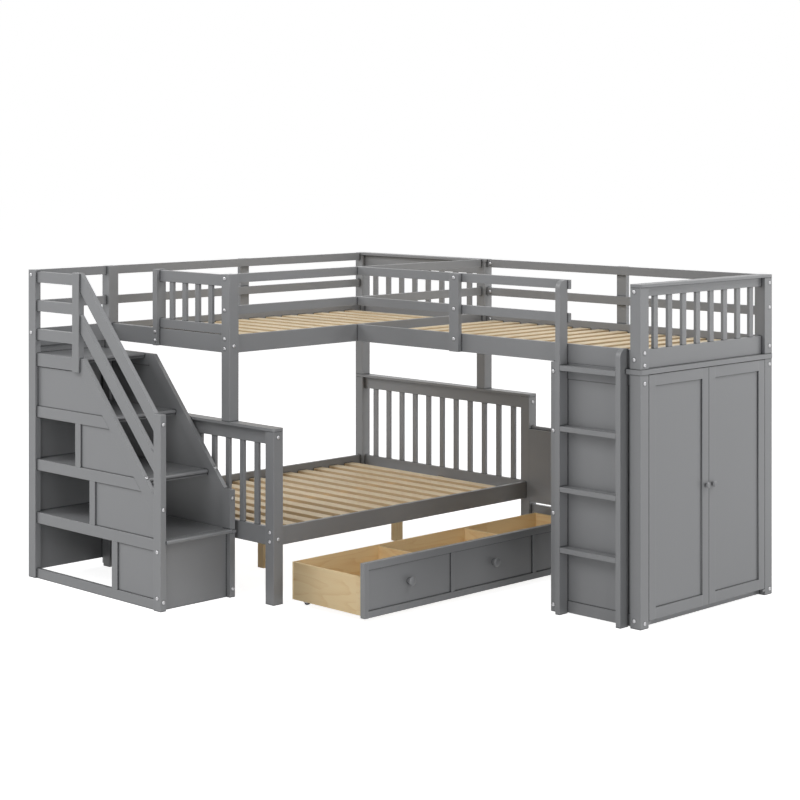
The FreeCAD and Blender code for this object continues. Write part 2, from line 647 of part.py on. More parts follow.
def stair_side_panels():
    drop = S.stringer_drop
    rail = S.stair_rail
    start = S.stair_post_x
    right = S.near_post_x - start
    low_x = S.stile_low_x + S.stair_stile - start
    mid_x = S.stile_mid_x + S.stair_stile - start
    high_x = S.stile_high_x + S.stair_stile - start
    foot = S.stair_foot_rail
    low_size = (right - low_x, S.panel_thick, level_top(1) - rail - foot)
    panels = [box("stair_panel_1", (low_x, 0, foot), low_size)]
    low, high = level_top(1), level_top(2) - rail
    panels.append(prism("stair_panel_2", "XZ_Plane", [
        (mid_x, low), (right, low), (right, slope_z(S.near_post_x, drop)),
        (slope_x(high, drop) - start, high), (mid_x, high)], S.panel_thick))
    low, high = level_top(2), level_top(3) - rail
    panels.append(prism("stair_panel_3", "XZ_Plane", [
        (high_x, low), (slope_x(low, drop) - start, low), (slope_x(high, drop) - start, high),
        (high_x, high)], S.panel_thick))
    low, high = level_top(3), S.landing_post_z
    panels.append(prism("stair_panel_4", "XZ_Plane", [
        (0, low), (slope_x(low, drop) - start, low), (slope_x(high, drop) - start, high),
        (0, high)], S.panel_thick))
    group("stair_side_panels", (start, S.panel_front, 0), panels)


def stringer(name, y, line):
    """A sloping side board with a short level top."""
    flat_x, top, _ = line
    drop = S.stringer_drop
    x = S.landing_post_x + S.landing_post_width
    run = S.near_post_x - x
    low, high = slope_z(x, drop, line), slope_z(S.near_post_x, 0, line)
    points = [(0, low), (run, high - drop), (run, high), (flat_x - x, top), (0, top)]
    return prism(name, "XZ_Plane", points, S.frame_thick, (x, y, 0))


def stair_stringers():
    group("stair_stringers", (0, 0, 0), [
        stringer("stringer_near", S.frame_front, NEAR_SLOPE),
        stringer("stringer_far", FAR_BOARD_Y, FAR_SLOPE),
    ])


def handrail(name, level, slope, drop, top):
    """A sloping board between the landing post and the near post."""
    start = S.landing_post_x + S.landing_post_width
    run = S.near_post_x - start
    end_high = level - run * slope
    points = [(0, level - drop), (run, end_high - drop), (run, end_high)]
    if top is None:
        points.append((0, level))
    else:
        points += [((level - top) / slope, top), (0, top)]
    return prism(name, "XZ_Plane", points, S.frame_thick)


def stair_handrails():
    start = S.landing_post_x + S.landing_post_width
    group("stair_handrails", (start, S.frame_front, 0), [
        handrail("handrail_high", S.hand_high, S.hand_slope, S.hand_high_drop, S.post_top),
        handrail("handrail_low", S.hand_low, S.hand_low_slope, S.hand_low_drop, None),
    ])


def landing_rails():
    """Three short rails between the outer post and the landing post."""
    size = (S.landing_post_x - S.stair_post_x, S.frame_thick, S.stair_rail)
    rails = [box("landing_rail_%d" % (k + 1), (0, 0, S.landing_guard_pitch * k), size)
             for k in range(LANDING_GUARDS)]
    group("stair_landing_rails", (S.stair_post_x, S.frame_front, S.landing_guard_z), rails)
    length = S.bed_near - S.stair_post_y
    size = (S.rail_thick, length, S.guard_height)
    group("stair_back_rails", (RAIL_INSET, S.stair_post_y, 0), [
        box("stair_back_board", (0, 0, S.upper_rail_z), (S.rail_thick, length, S.board_height)),
        box("stair_back_mid", (0, 0, S.guard_mid_z), size),
        box("stair_back_top", (0, 0, S.guard_top_z), size),
    ])


def tread_profile(length):
    """Section of a tread: eased nose and three anti-slip grooves behind it."""
    thick, low, high = S.tread_thick, S.nose_low, S.nose_high
    points = [(0, 0), (length - low, 0), (length, low), (length, thick - high), (length - high, thick)]
    for index in range(TREAD_GROOVES):
        edge = length - S.groove_first - S.groove_pitch * index
        back = edge - S.groove_width
        floor = thick - S.groove_depth
        points += [(edge, thick), (edge, floor), (back, floor), (back, thick)]
    return points + [(0, thick)]


def notched(name, board, start, posts):
    """Cuts a stair board clear of the far posts, each given by its X and width."""
    y = S.far_frame_y - S.stair_post_y
    tools = [box("%s_notch_%d" % (name, k), (x - start, y, 0), (width, S.frame_front, S.tread_thick))
             for k, (x, width) in enumerate(posts, start=1)]
    return cut(name, board, tools)


def nosing(name, front, width):
    """The strip under the front edge of one stair board."""
    x = front - S.nosing_set_back - S.nosing_depth
    return box(name, (x, 0, dim(0) - S.nosing_height), (S.nosing_depth, width, S.nosing_height))


def stair_treads():
    start = S.left_panel_x + S.left_panel_thick
    width = FAR_BOARD_Y - S.stair_post_y
    leg = (S.stair_post_x, S.leg_width)
    steps = (("stair_tread_low", 1, S.tread_low_x), ("stair_tread_mid", 2, S.tread_mid_x),
             ("stair_tread_high", 3, S.tread_high_x), ("stair_landing", 4, S.landing_x))
    for name, step, front in steps:
        z = board_top(step) - S.tread_thick
        board = prism(name + "_board", "XZ_Plane", tread_profile(front - start), width)
        if step == 1:
            lip = S.tread_low_x - S.near_post_x - S.landing_post_width
            lip_size = (lip, S.frame_thick, S.tread_thick - S.nose_high)
            second = box("tread_lip", (front - lip - start, width, 0), lip_size)
            posts = [leg, (S.near_post_x, S.landing_post_width)]
        else:
            second = nosing(name + "_nosing", front - start, width)
            posts = [leg]
        group(name, (start, S.stair_post_y, z), [notched(name, board, start, posts), second])


def stair_riser():
    width = S.far_frame_y - S.stair_post_y
    x = S.tread_low_x - S.riser_set_back - S.riser_thick
    board = box("riser_board", (0, 0, 0), (S.riser_thick, width, board_top(1) - S.tread_thick))
    group("stair_risers", (x, S.stair_post_y, 0), [board])


def stair_back_panels():
    drop = S.stringer_drop
    start = S.stair_post_x + S.leg_width
    end = S.near_post_x
    high = S.landing_rail_z
    flat = S.landing_post_x + S.landing_post_width
    inner = S.left_panel_x + S.left_panel_thick
    depth = S.far_frame_y
    panel_y = S.far_frame_y + S.panel_front
    points = [(0, S.panel_foot), (end - start, S.panel_foot), (end - start, slope_z(end, drop, FAR_SLOPE)),
              (flat - start, slope_z(flat, drop, FAR_SLOPE)), (flat - start, high), (0, high)]
    group("stair_back_panels", (0, 0, 0), [
        box("stair_left_panel", (S.left_panel_x, S.stair_post_y, S.panel_foot),
            (S.left_panel_thick, depth, S.upper_rail_z - S.panel_foot)),
        box("stair_far_strip", (inner, panel_y, S.panel_foot),
            (S.stair_post_x - inner, S.panel_thick, S.far_top - S.panel_foot)),
        prism("stair_far_panel", "XZ_Plane", points, S.panel_thick, (start, panel_y, 0)),
        box("stair_far_rail", (S.stair_post_x, FAR_BOARD_Y, high),
            (flat - S.stair_post_x, S.frame_thick, S.far_top - high)),
    ])


# ---------------------------------------------------------------- ladder
def ladder():
    stiles = []
    for name, x, top in (("ladder_stile_tall", dim(0), S.post_top), ("ladder_stile_short",
                         S.ladder_width - S.ladder_thick, S.ladder_short)):
        points = [(0, 0), (S.ladder_depth, 0), (S.ladder_depth, top), (0, top, S.ladder_round)]
        stiles.append(prism(name, "YZ_Plane", points, S.ladder_thick, (x, 0, 0)))
    group("ladder_stiles", (S.ladder_x, S.ladder_front, 0), stiles)
    clear = S.ladder_width - S.ladder_thick * 2
    rungs = [box("rung_%d" % (k + 1), (0, 0, S.rung_pitch * k), (clear, S.rung_depth, S.rung_height))
             for k in range(RUNGS)]
    group("ladder_rungs", (S.ladder_x + S.ladder_thick, S.ladder_front, S.rung_low), rungs)


# ---------------------------------------------------------------- wardrobe
def wardrobe_posts():
    right = S.total_length - S.post - S.wardrobe_x
    far = S.arm_width - S.post
    size = (S.post, S.post, S.wardrobe_top)
    group("wardrobe_posts", (S.wardrobe_x, LOFT_NEAR, 0), [
        box("wardrobe_post_near_left", (0, 0, 0), (S.post, S.post, S.upper_rail_z)),
        box("wardrobe_post_near_right", (right, 0, 0), size),
        box("wardrobe_post_far_left", (0, far, 0), size),
        box("wardrobe_post_far_right", (right, far, 0), size),
    ])


def pivot_points():
    """Y of the two door pivots, measured from the loft's near face."""
    near = S.post + S.door_gap + S.pivot_inset
    return near, S.arm_width - near


def wardrobe_top():
    x0, y0 = S.wardrobe_x - S.top_over, LOFT_NEAR - S.top_over
    clear_x = S.post + S.top_over
    clear_y = S.post + S.top_over
    notch_x = S.top_notch_x - x0
    notch_y = S.top_over + RAIL_INSET + S.notch_gap
    length = S.total_length + S.top_over - x0
    width = S.arm_width + S.top_over * 2
    r = S.top_round
    points = [(0, clear_y), (clear_x, clear_y), (clear_x, notch_y), (notch_x, notch_y), (notch_x, 0),
              (length, 0, r), (length, width, r), (0, width, r)]
    board = prism("wardrobe_top_board", "XY_Plane", points, S.top_thick)
    x = S.door_x + S.door_thick - S.pivot_inset - x0
    radius = S.pivot_radius + S.pivot_play
    holes = [cylinder("pivot_hole_%d" % k, (x, y + S.top_over, 0), radius, S.pivot_reach)
             for k, y in enumerate(pivot_points(), start=1)]
    node(cut("wardrobe_top", board, holes), "wardrobe_top", (x0, y0, S.wardrobe_top))


def wardrobe_sides():
    length = S.total_length - S.post * 2 - S.wardrobe_x
    members = []
    far = S.arm_width - S.side_front - S.side_thick
    panel_set = (S.side_thick - S.side_panel_thick) / 2
    for name, y in (("near", S.side_front), ("far", far)):
        low = S.side_foot
        high = S.wardrobe_top - S.side_rail
        members.append(box("side_%s_foot" % name, (0, y, low), (length, S.side_thick, S.side_rail)))
        members.append(box("side_%s_head" % name, (0, y, high), (length, S.side_thick, S.side_rail)))
        members.append(box("side_%s_panel" % name, (0, y + panel_set, low + S.side_rail),
                           (length, S.side_panel_thick, high - low - S.side_rail)))
    group("wardrobe_sides", (S.wardrobe_x + S.post, LOFT_NEAR, 0), members)


def wardrobe_inside():
    width = S.arm_width - S.post * 2
    back = box("wardrobe_back_board", (0, 0, 0), (S.back_thick, width, S.wardrobe_top - S.base_z))
    group("wardrobe_back", (S.back_x, LOFT_NEAR + S.post, S.base_z), [back])
    inner = S.side_front + S.side_thick
    low, high = S.post - inner, S.arm_width - S.post - inner
    start = S.back_x + S.back_thick
    left = S.wardrobe_x + S.post - start
    right = S.total_length - S.post - start
    end = S.plinth_x + S.plinth_thick - start
    deep = S.arm_width - inner * 2
    floor = [(0, low), (left, low), (left, 0), (right, 0), (right, low), (end, low),
             (end, high), (right, high), (right, deep), (left, deep), (left, high), (0, high)]
    group("wardrobe_base", (0, LOFT_NEAR, 0), [
        prism("wardrobe_floor", "XY_Plane", floor, S.base_thick, (start, inner, S.base_z)),
        box("wardrobe_plinth", (S.plinth_x, S.post, S.plinth_low),
            (S.plinth_thick, width, S.base_z - S.plinth_low)),
    ])
    panel_gap = (S.side_thick - S.side_panel_thick) / 2
    length = S.arm_width - inner * 2 + panel_gap * 2
    rod = cylinder("hanging_rod", (0, 0, 0), S.rod_radius, length, (1, 0, 0, -90))
    group("wardrobe_rod", (S.rod_x, LOFT_NEAR + inner - panel_gap, S.rod_z), [rod])


def pivot_brackets():
    """Floor brackets that hold the lower pivot of each door."""
    x = S.door_x + S.door_thick - S.pivot_inset
    near, far = pivot_points()
    members = []
    for name, y, corner in (("near", near, S.post), ("far", far, S.arm_width - S.post - S.bracket)):
        plate = box("bracket_%s_plate" % name, (0, corner, 0), (S.bracket, S.bracket, S.bracket_thick))
        hole = cylinder("bracket_%s_hole" % name, (x - S.total_length + S.bracket, y,
                        S.bracket_thick - S.pivot_reach), S.pivot_radius + S.pivot_play, S.pivot_reach)
        members.append(cut("bracket_" + name, plate, [hole]))
    low = S.door_low - S.door_gap - S.bracket_thick
    group("pivot_brackets", (S.total_length - S.bracket, LOFT_NEAR, low), members)


def door(label, y, pivot_y, knob_y):
    """A framed door with a sunk panel, a knob, and a pivot pin at the top and the foot."""
    width = (S.arm_width - S.post * 2 - S.door_gap * 3) / 2
    height = S.door_high - S.door_low
    t = S.door_thick
    stile, rail = S.door_stile, S.door_rail
    inner = width - stile * 2
    pin_x = t - S.pivot_inset
    reach = S.pivot_reach - S.pivot_end_gap
    pin_y = pivot_y - y
    members = [
        box(label + "_stile_1", (0, 0, 0), (t, stile, height)),
        box(label + "_stile_2", (0, width - stile, 0), (t, stile, height)),
        box(label + "_rail_low", (0, stile, 0), (t, inner, rail)),
        box(label + "_rail_top", (0, stile, height - rail), (t, inner, rail)),
        box(label + "_panel", (t - S.door_recess - S.door_panel_thick, stile, rail),
            (S.door_panel_thick, inner, height - rail * 2)),
        cylinder(label + "_pin_top", (pin_x, pin_y, height), S.pivot_radius,
                 S.wardrobe_top - S.door_high + reach),
        cylinder(label + "_pin_low", (pin_x, pin_y, dim(0) - S.door_gap - reach), S.pivot_radius,
                 S.door_gap + reach),
        knob(label + "_knob", (t, knob_y, S.door_knob_z - S.door_low), S.door_knob_radius,
             S.door_knob_length),
    ]
    group(label, (S.door_x, LOFT_NEAR + y, S.door_low), members)


def knob(name, at, radius, length):
    """A turned knob whose axis points along +X."""
    points = [(0, 0)] + [(radius * wide, length * far) for far, wide in KNOB_PROFILE] + [(0, length)]
    return turned(name, points, "V_Axis", at, (0, 1, 0, 90))


def doors():
    width = (S.arm_width - S.post * 2 - S.door_gap * 3) / 2
    near, far = pivot_points()
    near_y = S.post + S.door_gap
    far_y = near_y + width + S.door_gap
    door("door_near", near_y, near, width - S.door_stile / 2)
    door("door_far", far_y, far, S.door_stile / 2)


def link_panel():
    """Stretchers and a panel that tie the headboard to the wardrobe."""
    length = S.wardrobe_x - S.lower_width
    rail_y = RAIL_INSET
    group("link_panel", (S.lower_width, BED_FAR - S.post, 0), [
        box("link_board", (0, 0, S.link_panel_z), (length, RAIL_INSET, S.link_panel_height)),
        box("link_rail_low", (0, rail_y, S.link_low_z), (length, S.rail_thick, S.board_height)),
        box("link_rail_high", (0, rail_y, S.link_high_z), (length, S.rail_thick, S.board_height)),
    ])


# ---------------------------------------------------------------- rolling drawer
def drawer_front():
    edge, thick, height = S.front_edge, S.front_thick, S.front_height
    length = S.drawer_length
    rail_length = length - edge * 2
    upright = height - S.front_rail_low - S.front_rail_top
    middle = length / 2
    members = [
        box("front_end_1", (0, 0, 0), (thick, edge, height)),
        box("front_end_2", (0, length - edge, 0), (thick, edge, height)),
        box("front_rail_foot", (0, edge, 0), (thick, rail_length, S.front_rail_low)),
        box("front_rail_head", (0, edge, height - S.front_rail_top), (thick, rail_length, S.front_rail_top)),
    ]
    left = middle - S.front_stile_offset - S.front_stile / 2
    right = middle + S.front_stile_offset - S.front_stile / 2
    stile = (thick, S.front_stile, upright)
    for index, y in enumerate((left, right), start=1):
        members.append(box("front_stile_%d" % index, (0, y, S.front_rail_low), stile))
    fields = ((edge, left), (left + S.front_stile, right), (right + S.front_stile, length - edge))
    x = thick - S.front_recess - S.front_panel_thick
    for index, (low, high) in enumerate(fields, start=1):
        members.append(box("front_panel_%d" % index, (x, low, S.front_rail_low),
                           (S.front_panel_thick, high - low, upright)))
    group("drawer_front", (S.lower_width + S.drawer_out - thick, S.drawer_y, S.front_low), members)


def drawer_knobs():
    x = S.lower_width + S.drawer_out - S.front_recess
    middle = S.drawer_y + S.drawer_length / 2
    size = (S.drawer_knob_radius, S.drawer_knob_length)
    members = [knob("drawer_knob_%d" % (k + 2), (0, S.knob_offset * k, 0), *size) for k in (-1, 0, 1)]
    group("drawer_knobs", (x, middle, S.drawer_knob_z), members)


def drawer_box():
    b = S.board
    start = S.lower_width + S.drawer_out - S.front_thick - S.box_depth
    margin = S.box_y - S.drawer_y
    length = S.drawer_length - margin * 2
    strip_x = S.box_depth - S.end_strip
    members = [box("drawer_back", (0, 0, 0), (b, length, S.box_height))]
    for k, y in ((1, dim(0)), (2, length - b)):
        members.append(box("drawer_end_%d" % k, (b, y, 0), (strip_x - b, b, S.box_height)))
        members.append(box("drawer_end_strip_%d" % k, (strip_x, y, 0), (S.end_strip, b, S.box_height)))
    group("drawer_box", (start, S.box_y, S.box_low), members)
    inner_length = length - b * 2
    depth = S.box_depth - b
    bottom = box("drawer_bottom_board", (0, 0, 0), (depth, inner_length, S.bottom_thick))
    group("drawer_bottom", (start + b, S.box_y + b, S.bottom_low), [bottom])
    floor = S.bottom_low + S.bottom_thick
    middle = length / 2
    dividers = []
    for index, sign in enumerate((-1, 1), start=1):
        y = middle + S.drawer_divider_offset * sign - b / 2
        dividers.append(box("drawer_divider_%d" % index, (0, y, 0), (depth, b, S.divider_top - floor)))
    group("drawer_dividers", (start + b, S.box_y, floor), dividers)


def drawer_wheels():
    start = S.lower_width + S.drawer_out - S.front_thick - S.box_depth
    half = S.wheel_width / 2
    r, hole = S.wheel_radius, S.axle_radius + S.axle_play
    last = S.drawer_length - (S.box_y - S.drawer_y) * 2 - S.wheel_inset_y
    sides = (S.wheel_inset_y, last)
    wide, edge = S.wheel_width, S.wheel_chamfer
    profile = [(0, hole), (wide, hole), (wide, r - edge), (wide - edge, r), (edge, r), (0, r - edge)]
    for label, x in (("drawer_wheels_rear", S.wheel_back), ("drawer_wheels_front", S.wheel_front)):
        wheels = [turned("%s_%d" % (label, k), profile, "H_Axis", (0, y - half, 0))
                  for k, y in enumerate(sides, start=1)]
        group(label, (start + x, S.box_y, r), wheels)
    forks = []
    for row, x in (("rear", S.wheel_back), ("front", S.wheel_front)):
        for k, y in enumerate(sides, start=1):
            forks += fork("fork_%s_%d" % (row, k), x, y, half)
    group("drawer_casters", (start, S.box_y, 0), forks)


def fork(name, x, y, half):
    """A plate, two cheeks and an axle around one wheel."""
    plate_low = S.bottom_low - S.fork_plate
    wide = S.fork_half * 2
    out = half + S.fork_gap
    cheek = (wide, S.fork_thick, plate_low - S.fork_low)
    return [
        box(name + "_plate", (x - S.fork_half, y - out - S.fork_thick, plate_low),
            (wide, out * 2 + S.fork_thick * 2, S.fork_plate)),
        box(name + "_cheek_1", (x - S.fork_half, y - out - S.fork_thick, S.fork_low), cheek),
        box(name + "_cheek_2", (x - S.fork_half, y + out, S.fork_low), cheek),
        cylinder(name + "_axle", (x, y - out, S.wheel_radius), S.axle_radius, out * 2, (1, 0, 0, -90)),
    ]


# ---------------------------------------------------------------- bolts
FACE_TURN = {
    "-Y": (1, 0, 0, 90), "+Y": (1, 0, 0, -90),
    "+X": (0, 1, 0, 90), "-X": (0, 1, 0, -90),
}


def bolt(name, turn, x, y, z):
    """The low head of one connector bolt, twelve-sided; turn points its axis out of the board."""
    head = doc.addObject("Part::Prism", name)
    head.Polygon = 12
    head.setExpression("Circumradius", S.bolt_radius.text)
    head.setExpression("Height", S.bolt_height.text)
    rotation = FreeCAD.Rotation(FreeCAD.Vector(*turn[:3]), turn[3])
    head.Placement = FreeCAD.Placement(FreeCAD.Vector(), rotation)
    return put(head, (x, y, z))


def bolt_rows():
    """The face that each upright row of bolt heads sits on, its X and Y, and its name in BOLT_Z."""
    half = S.post / 2
    foot_y, head_y = S.bed_near + half, BED_FAR - half
    right, front, end = S.lower_width, S.arm_width, S.total_length
    stair_side = S.near_post_x + S.landing_post_width
    stile_out = S.stile_thick - RAIL_INSET
    inside_back = BED_FAR - RAIL_INSET - S.rail_thick
    return [
        ("-Y", S.bolt_outer_x, 0, "stair_outer"),
        ("-Y", S.near_post_x + S.bolt_inset, 0, "stair_near_front"),
        ("+X", stair_side, S.bolt_near_y, "stair_near_side"),
        ("+X", stair_side, S.bolt_far_y, "stair_far_side"),
        ("-Y", right - half, S.bed_near, "bed_end"),
        ("+X", right, foot_y, "lower_side"),
        ("+X", right, head_y, "lower_side"),
        ("-X", 0, foot_y, "left_side"),
        ("-X", 0, head_y, "left_side"),
        ("-Y", S.entry_stile_x + S.bolt_entry, S.bed_near, "entry_stile"),
        ("-Y", front - S.bolt_front_inset, S.bed_near, "bunk_front"),
        ("+X", front, foot_y, "bunk_side"),
        ("-X", dim(0) - stile_out, S.bunk_stile_y + S.bolt_stile, "guard_stile"),
        ("-Y", S.loft_stile_x + S.bolt_stile, LOFT_NEAR - stile_out, "guard_stile"),
        ("+Y", S.loft_back_stile_x + S.bolt_stile, BED_FAR + stile_out, "guard_stile"),
        ("-Y", front + S.bolt_back_x, inside_back, "bunk_back_inside"),
        ("-Y", end - S.bolt_loft_inset, LOFT_NEAR, "loft_front"),
        ("+X", end, LOFT_NEAR + half, "loft_near_side"),
        ("+X", end, BED_FAR - S.bolt_loft_far, "loft_far_side"),
        ("-Y", S.wardrobe_x + S.bolt_wardrobe_x, LOFT_NEAR, "wardrobe_left"),
        ("+Y", half, BED_FAR, "bed_end"),
        ("+Y", right - half, BED_FAR, "bed_end"),
        ("+Y", half, BED_FAR, "bunk_back"),
        ("+Y", front - half, BED_FAR, "bunk_back"),
        ("+Y", end - half, BED_FAR, "loft_back"),
    ]


def slope_bolt(name, y, line):
    """A bolt head on the sloping upper edge of one stringer."""
    x = S.slope_bolt_x
    return bolt(name, (0, 1, 0, math.degrees(math.atan(line[2].value))), x, y, slope_z(x, 0, line))


def bolts():
    heads = []
    for row, (face, x, y, member) in enumerate(bolt_rows(), start=1):
        for k, z in enumerate(BOLT_Z[member], start=1):
            heads.append(bolt("bolt_%d_%d" % (row, k), FACE_TURN[face], x, y, z))
    middle = S.frame_thick / 2
    heads.append(slope_bolt("bolt_slope_near", S.frame_front + middle, NEAR_SLOPE))
    heads.append(slope_bolt("bolt_slope_far", FAR_BOARD_Y + middle, FAR_SLOPE))
    group("bolt_heads", (0, 0, 0), heads)


# ---------------------------------------------------------------- assembly
def check_document():
    for obj in doc.Objects:
        if "Invalid" in obj.State or "Error" in obj.State:
            raise RuntimeError("%s is %s" % (obj.Name, obj.State))
    for obj in nodes:
        shape = obj.Shape
        if shape.isNull() or not shape.isValid() or not shape.Solids:
            raise RuntimeError("%s has no valid solid" % obj.Label)


def export_nodes():
    os.makedirs("parts", exist_ok=True)
    for obj in nodes:
        obj.Shape.exportStep(os.path.join("parts", obj.Label + ".step"))


def report_extent():
    total = FreeCAD.BoundBox()
    for obj in nodes:
        total.add(obj.Shape.BoundBox)
    print("%d nodes, %d solids" % (len(nodes), sum(len(obj.Shape.Solids) for obj in nodes)))
    print("x %.2f %.2f  y %.2f %.2f  z %.2f %.2f" % (
        total.XMin, total.XMax, total.YMin, total.YMax, total.ZMin, total.ZMax))


def main():
    lower_bed()
    bunk_posts()
    bunk_rails()
    bunk_end_panels()
    entry_stile()
    loft_posts()
    loft_rails()
    loft_end_panel()
    upper_caps()
    guard_stiles()
    upper_slats()
    ledgers()
    stair_posts()
    stair_side_frame()
    stair_side_panels()
    stair_stringers()
    stair_handrails()
    landing_rails()
    stair_treads()
    stair_riser()
    stair_back_panels()
    ladder()
    wardrobe_posts()
    wardrobe_top()
    wardrobe_sides()
    wardrobe_inside()
    pivot_brackets()
    doors()
    link_panel()
    drawer_front()
    drawer_knobs()
    drawer_box()
    drawer_wheels()
    bolts()
    doc.recompute()
    check_document()
    export_nodes()
    report_extent()


main()
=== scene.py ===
"""Looks for the L-shaped bunk bed: satin grey paint, clear pine, zinc-plated bolts,
soft studio light and the camera.  Metres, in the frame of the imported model."""
import functools
import json
import math

import bmesh
import bpy
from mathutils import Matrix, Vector

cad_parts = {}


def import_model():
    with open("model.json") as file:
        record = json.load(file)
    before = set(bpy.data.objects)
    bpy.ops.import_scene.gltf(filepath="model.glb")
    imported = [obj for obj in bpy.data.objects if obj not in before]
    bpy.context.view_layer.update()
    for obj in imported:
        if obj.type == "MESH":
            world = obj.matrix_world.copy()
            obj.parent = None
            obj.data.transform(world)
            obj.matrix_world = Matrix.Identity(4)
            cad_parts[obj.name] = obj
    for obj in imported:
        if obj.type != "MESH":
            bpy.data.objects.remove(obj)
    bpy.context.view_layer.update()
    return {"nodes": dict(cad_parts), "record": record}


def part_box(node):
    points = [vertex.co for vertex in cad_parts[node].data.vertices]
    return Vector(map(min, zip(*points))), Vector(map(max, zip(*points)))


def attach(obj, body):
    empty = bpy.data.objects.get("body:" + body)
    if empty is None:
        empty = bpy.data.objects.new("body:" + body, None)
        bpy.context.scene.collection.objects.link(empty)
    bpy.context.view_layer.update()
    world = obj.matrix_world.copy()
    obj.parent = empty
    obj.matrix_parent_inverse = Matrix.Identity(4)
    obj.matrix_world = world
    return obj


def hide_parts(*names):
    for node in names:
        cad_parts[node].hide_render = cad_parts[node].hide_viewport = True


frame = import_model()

NODES = frame["nodes"]
BODIES = frame["record"]["behaviour"]["bodies"]
BODY_OF = {node: body for body, members in BODIES.items() for node in members}

# Sizes below are in mm where they are multiplied by MM, and in metres elsewhere.
MM = 0.001
SAME_PLACE = 0.02           # mm: corners nearer to each other than this are one

# ---------------------------------------------------------------- what each node is made of
SLAT_NODES = ("lower_bed_slats", "bunk_slats", "loft_slats", "slat_ledgers")
PINE_NODES = ("centre_support", "drawer_box", "drawer_dividers", "drawer_bottom")
STEEL_NODES = ("bolt_heads", "drawer_casters", "wardrobe_rod")
WHEEL_NODES = ("drawer_wheels_front", "drawer_wheels_rear")

# Direction in which the boards of each node run; "h" is level, along each face.
UPRIGHT = "z"
GRAIN = {
    "x": ("lower_bed_slats", "bunk_slats", "lower_bed_end_rails", "bunk_end_rails", "stair_side_frame",
          "stair_landing_rails", "ladder_rungs", "link_panel", "wardrobe_rod", "stair_stringers",
          "stair_handrails"),
    "y": ("loft_slats", "lower_bed_side_rails", "loft_end_rails", "stair_back_rails", "drawer_front",
          "stair_tread_low", "stair_tread_mid", "stair_tread_high", "stair_landing", "stair_risers"),
    "h": ("bunk_bed_rails", "bunk_guard_rails", "loft_bed_rails", "loft_guard_rails", "upper_caps",
          "lower_bed_caps", "slat_ledgers", "drawer_box", "drawer_dividers", "drawer_bottom",
          "wardrobe_top", "wardrobe_base"),
}
GRAIN_OF = {node: direction for direction, members in GRAIN.items() for node in members}
# The parts of a place in the order that puts the length of the board first.
LENGTH_FIRST = {"x": "XYZ", "y": "YXZ", "z": "ZXY"}

# Width in mm of the eased edges of each node, and of every node that isn't named.
DEFAULT_ROUND = 1.2
ROUNDS = {
    0.4: ("drawer_casters",),
    0.5: ("wardrobe_rod", "wardrobe_back", "drawer_bottom"),
    0.8: ("drawer_wheels_front", "drawer_wheels_rear"),
    1.0: ("pivot_brackets", "door_near", "door_far"),
    1.5: ("stair_stringers", "drawer_front"),
    2.0: ("lower_bed_slats", "bunk_slats", "loft_slats", "bunk_end_rails", "bunk_bed_rails",
          "stair_handrails", "ladder_rungs", "ladder_stiles", "wardrobe_top"),
    2.5: ("lower_bed_caps", "upper_caps"),
    5.0: ("stair_tread_low", "stair_tread_mid", "stair_tread_high", "stair_landing"),
}
ROUND_OF = {node: width for width, members in ROUNDS.items() for node in members}
ROUND_SEGMENTS = 2
ROUND_ANGLE = 25            # degrees: flatter edges than this stay as they are
FACE_WEIGHT = 80            # how far the large faces rule the shading of the eased edges

# ---------------------------------------------------------------- what materials share
# Ambient occlusion within a reach, in mm, finds the worn edges, and the creases where shade is painted in.
OCCLUSION_SAMPLES = 4
EDGE_REACH = 3.0
EDGE_OCCLUSION = (0.95, 0.55)           # inside a board: on its flat faces and at its edges
CREASE_REACH = 8.0
CREASE_OCCLUSION = (0.58, 0.97)         # outside it: deep in a joint and on an open face
NOISE_RANGE = (0.3, 0.7)                # where most values of a noise lie
BOARD_SHIFT = (7.0, 3.1, 5.3)           # metres: the most that chance moves a board's pattern

# ---------------------------------------------------------------- paint
PAINT_LIGHT = (0.262, 0.266, 0.274)
PAINT_DARK = (0.246, 0.250, 0.258)
PAINT_EDGE = (0.340, 0.345, 0.355)
# Painted shade: the near black that joints, recesses and gaps are darkened towards.
PAINTED_CREASE_SHADE = (0.045, 0.047, 0.050)
PAINT_GRAIN = dict(along=5.0, across=150.0, detail=4.0, roughness=0.6, distortion=0.4)
PAINT_CLOUDS = dict(scale=3.5, detail=3.0)
PAINT_PEEL = dict(scale=700.0, detail=2.0)
GRAIN_RELIEF = dict(depth=0.25, strength=0.4)
PEEL_RELIEF = dict(depth=0.06, strength=0.3)
PAINT_TONE = (0.35, 0.45, 0.20)         # shares of the clouds, the grain and each board's chance
PAINT_ROUGH = 0.28
PAINT_ROUGHER = (0.06, 0.10)            # what the grain and the clouds add
CREASE_ROUGH = 0.85                     # roughness deep in a joint
EDGE_WEAR = (0.2, 0.7)                  # how worn the edges are where the clouds are thin and thick

# ---------------------------------------------------------------- pine
# The pale, middle and dark tone of the slats and of the drawer's warmer boards.
SLAT_PINE = ((0.930, 0.800, 0.580), (0.900, 0.745, 0.510), (0.740, 0.520, 0.290))
DRAWER_PINE = ((0.930, 0.750, 0.460), (0.900, 0.690, 0.400), (0.740, 0.480, 0.210))
PINE_STOPS = (0.15, 0.50, 1.0)          # where the three tones stand
# Painted shade: the slats' sides, which face sideways, are darkened towards this colour.
PAINTED_SIDE_SHADE = (0.660, 0.460, 0.250)
SIDE_SHADE_SHARE = 0.85
PINE_FIBRE = dict(along=9.0, across=420.0, detail=3.0, roughness=0.6)
PINE_STREAKS = dict(along=1.5, across=45.0, detail=2.0)
PINE_TONE = (0.34, 0.30, 0.34, 0.14)    # shares of fibres, rings, streaks and each board's chance
FIBRE_RELIEF = dict(depth=0.3, strength=0.4)
FIBRE_RANGE = (0.2, 0.8)
PINE_ROUGH = (0.42, 0.56)
PINE_SPECULAR = 0.4

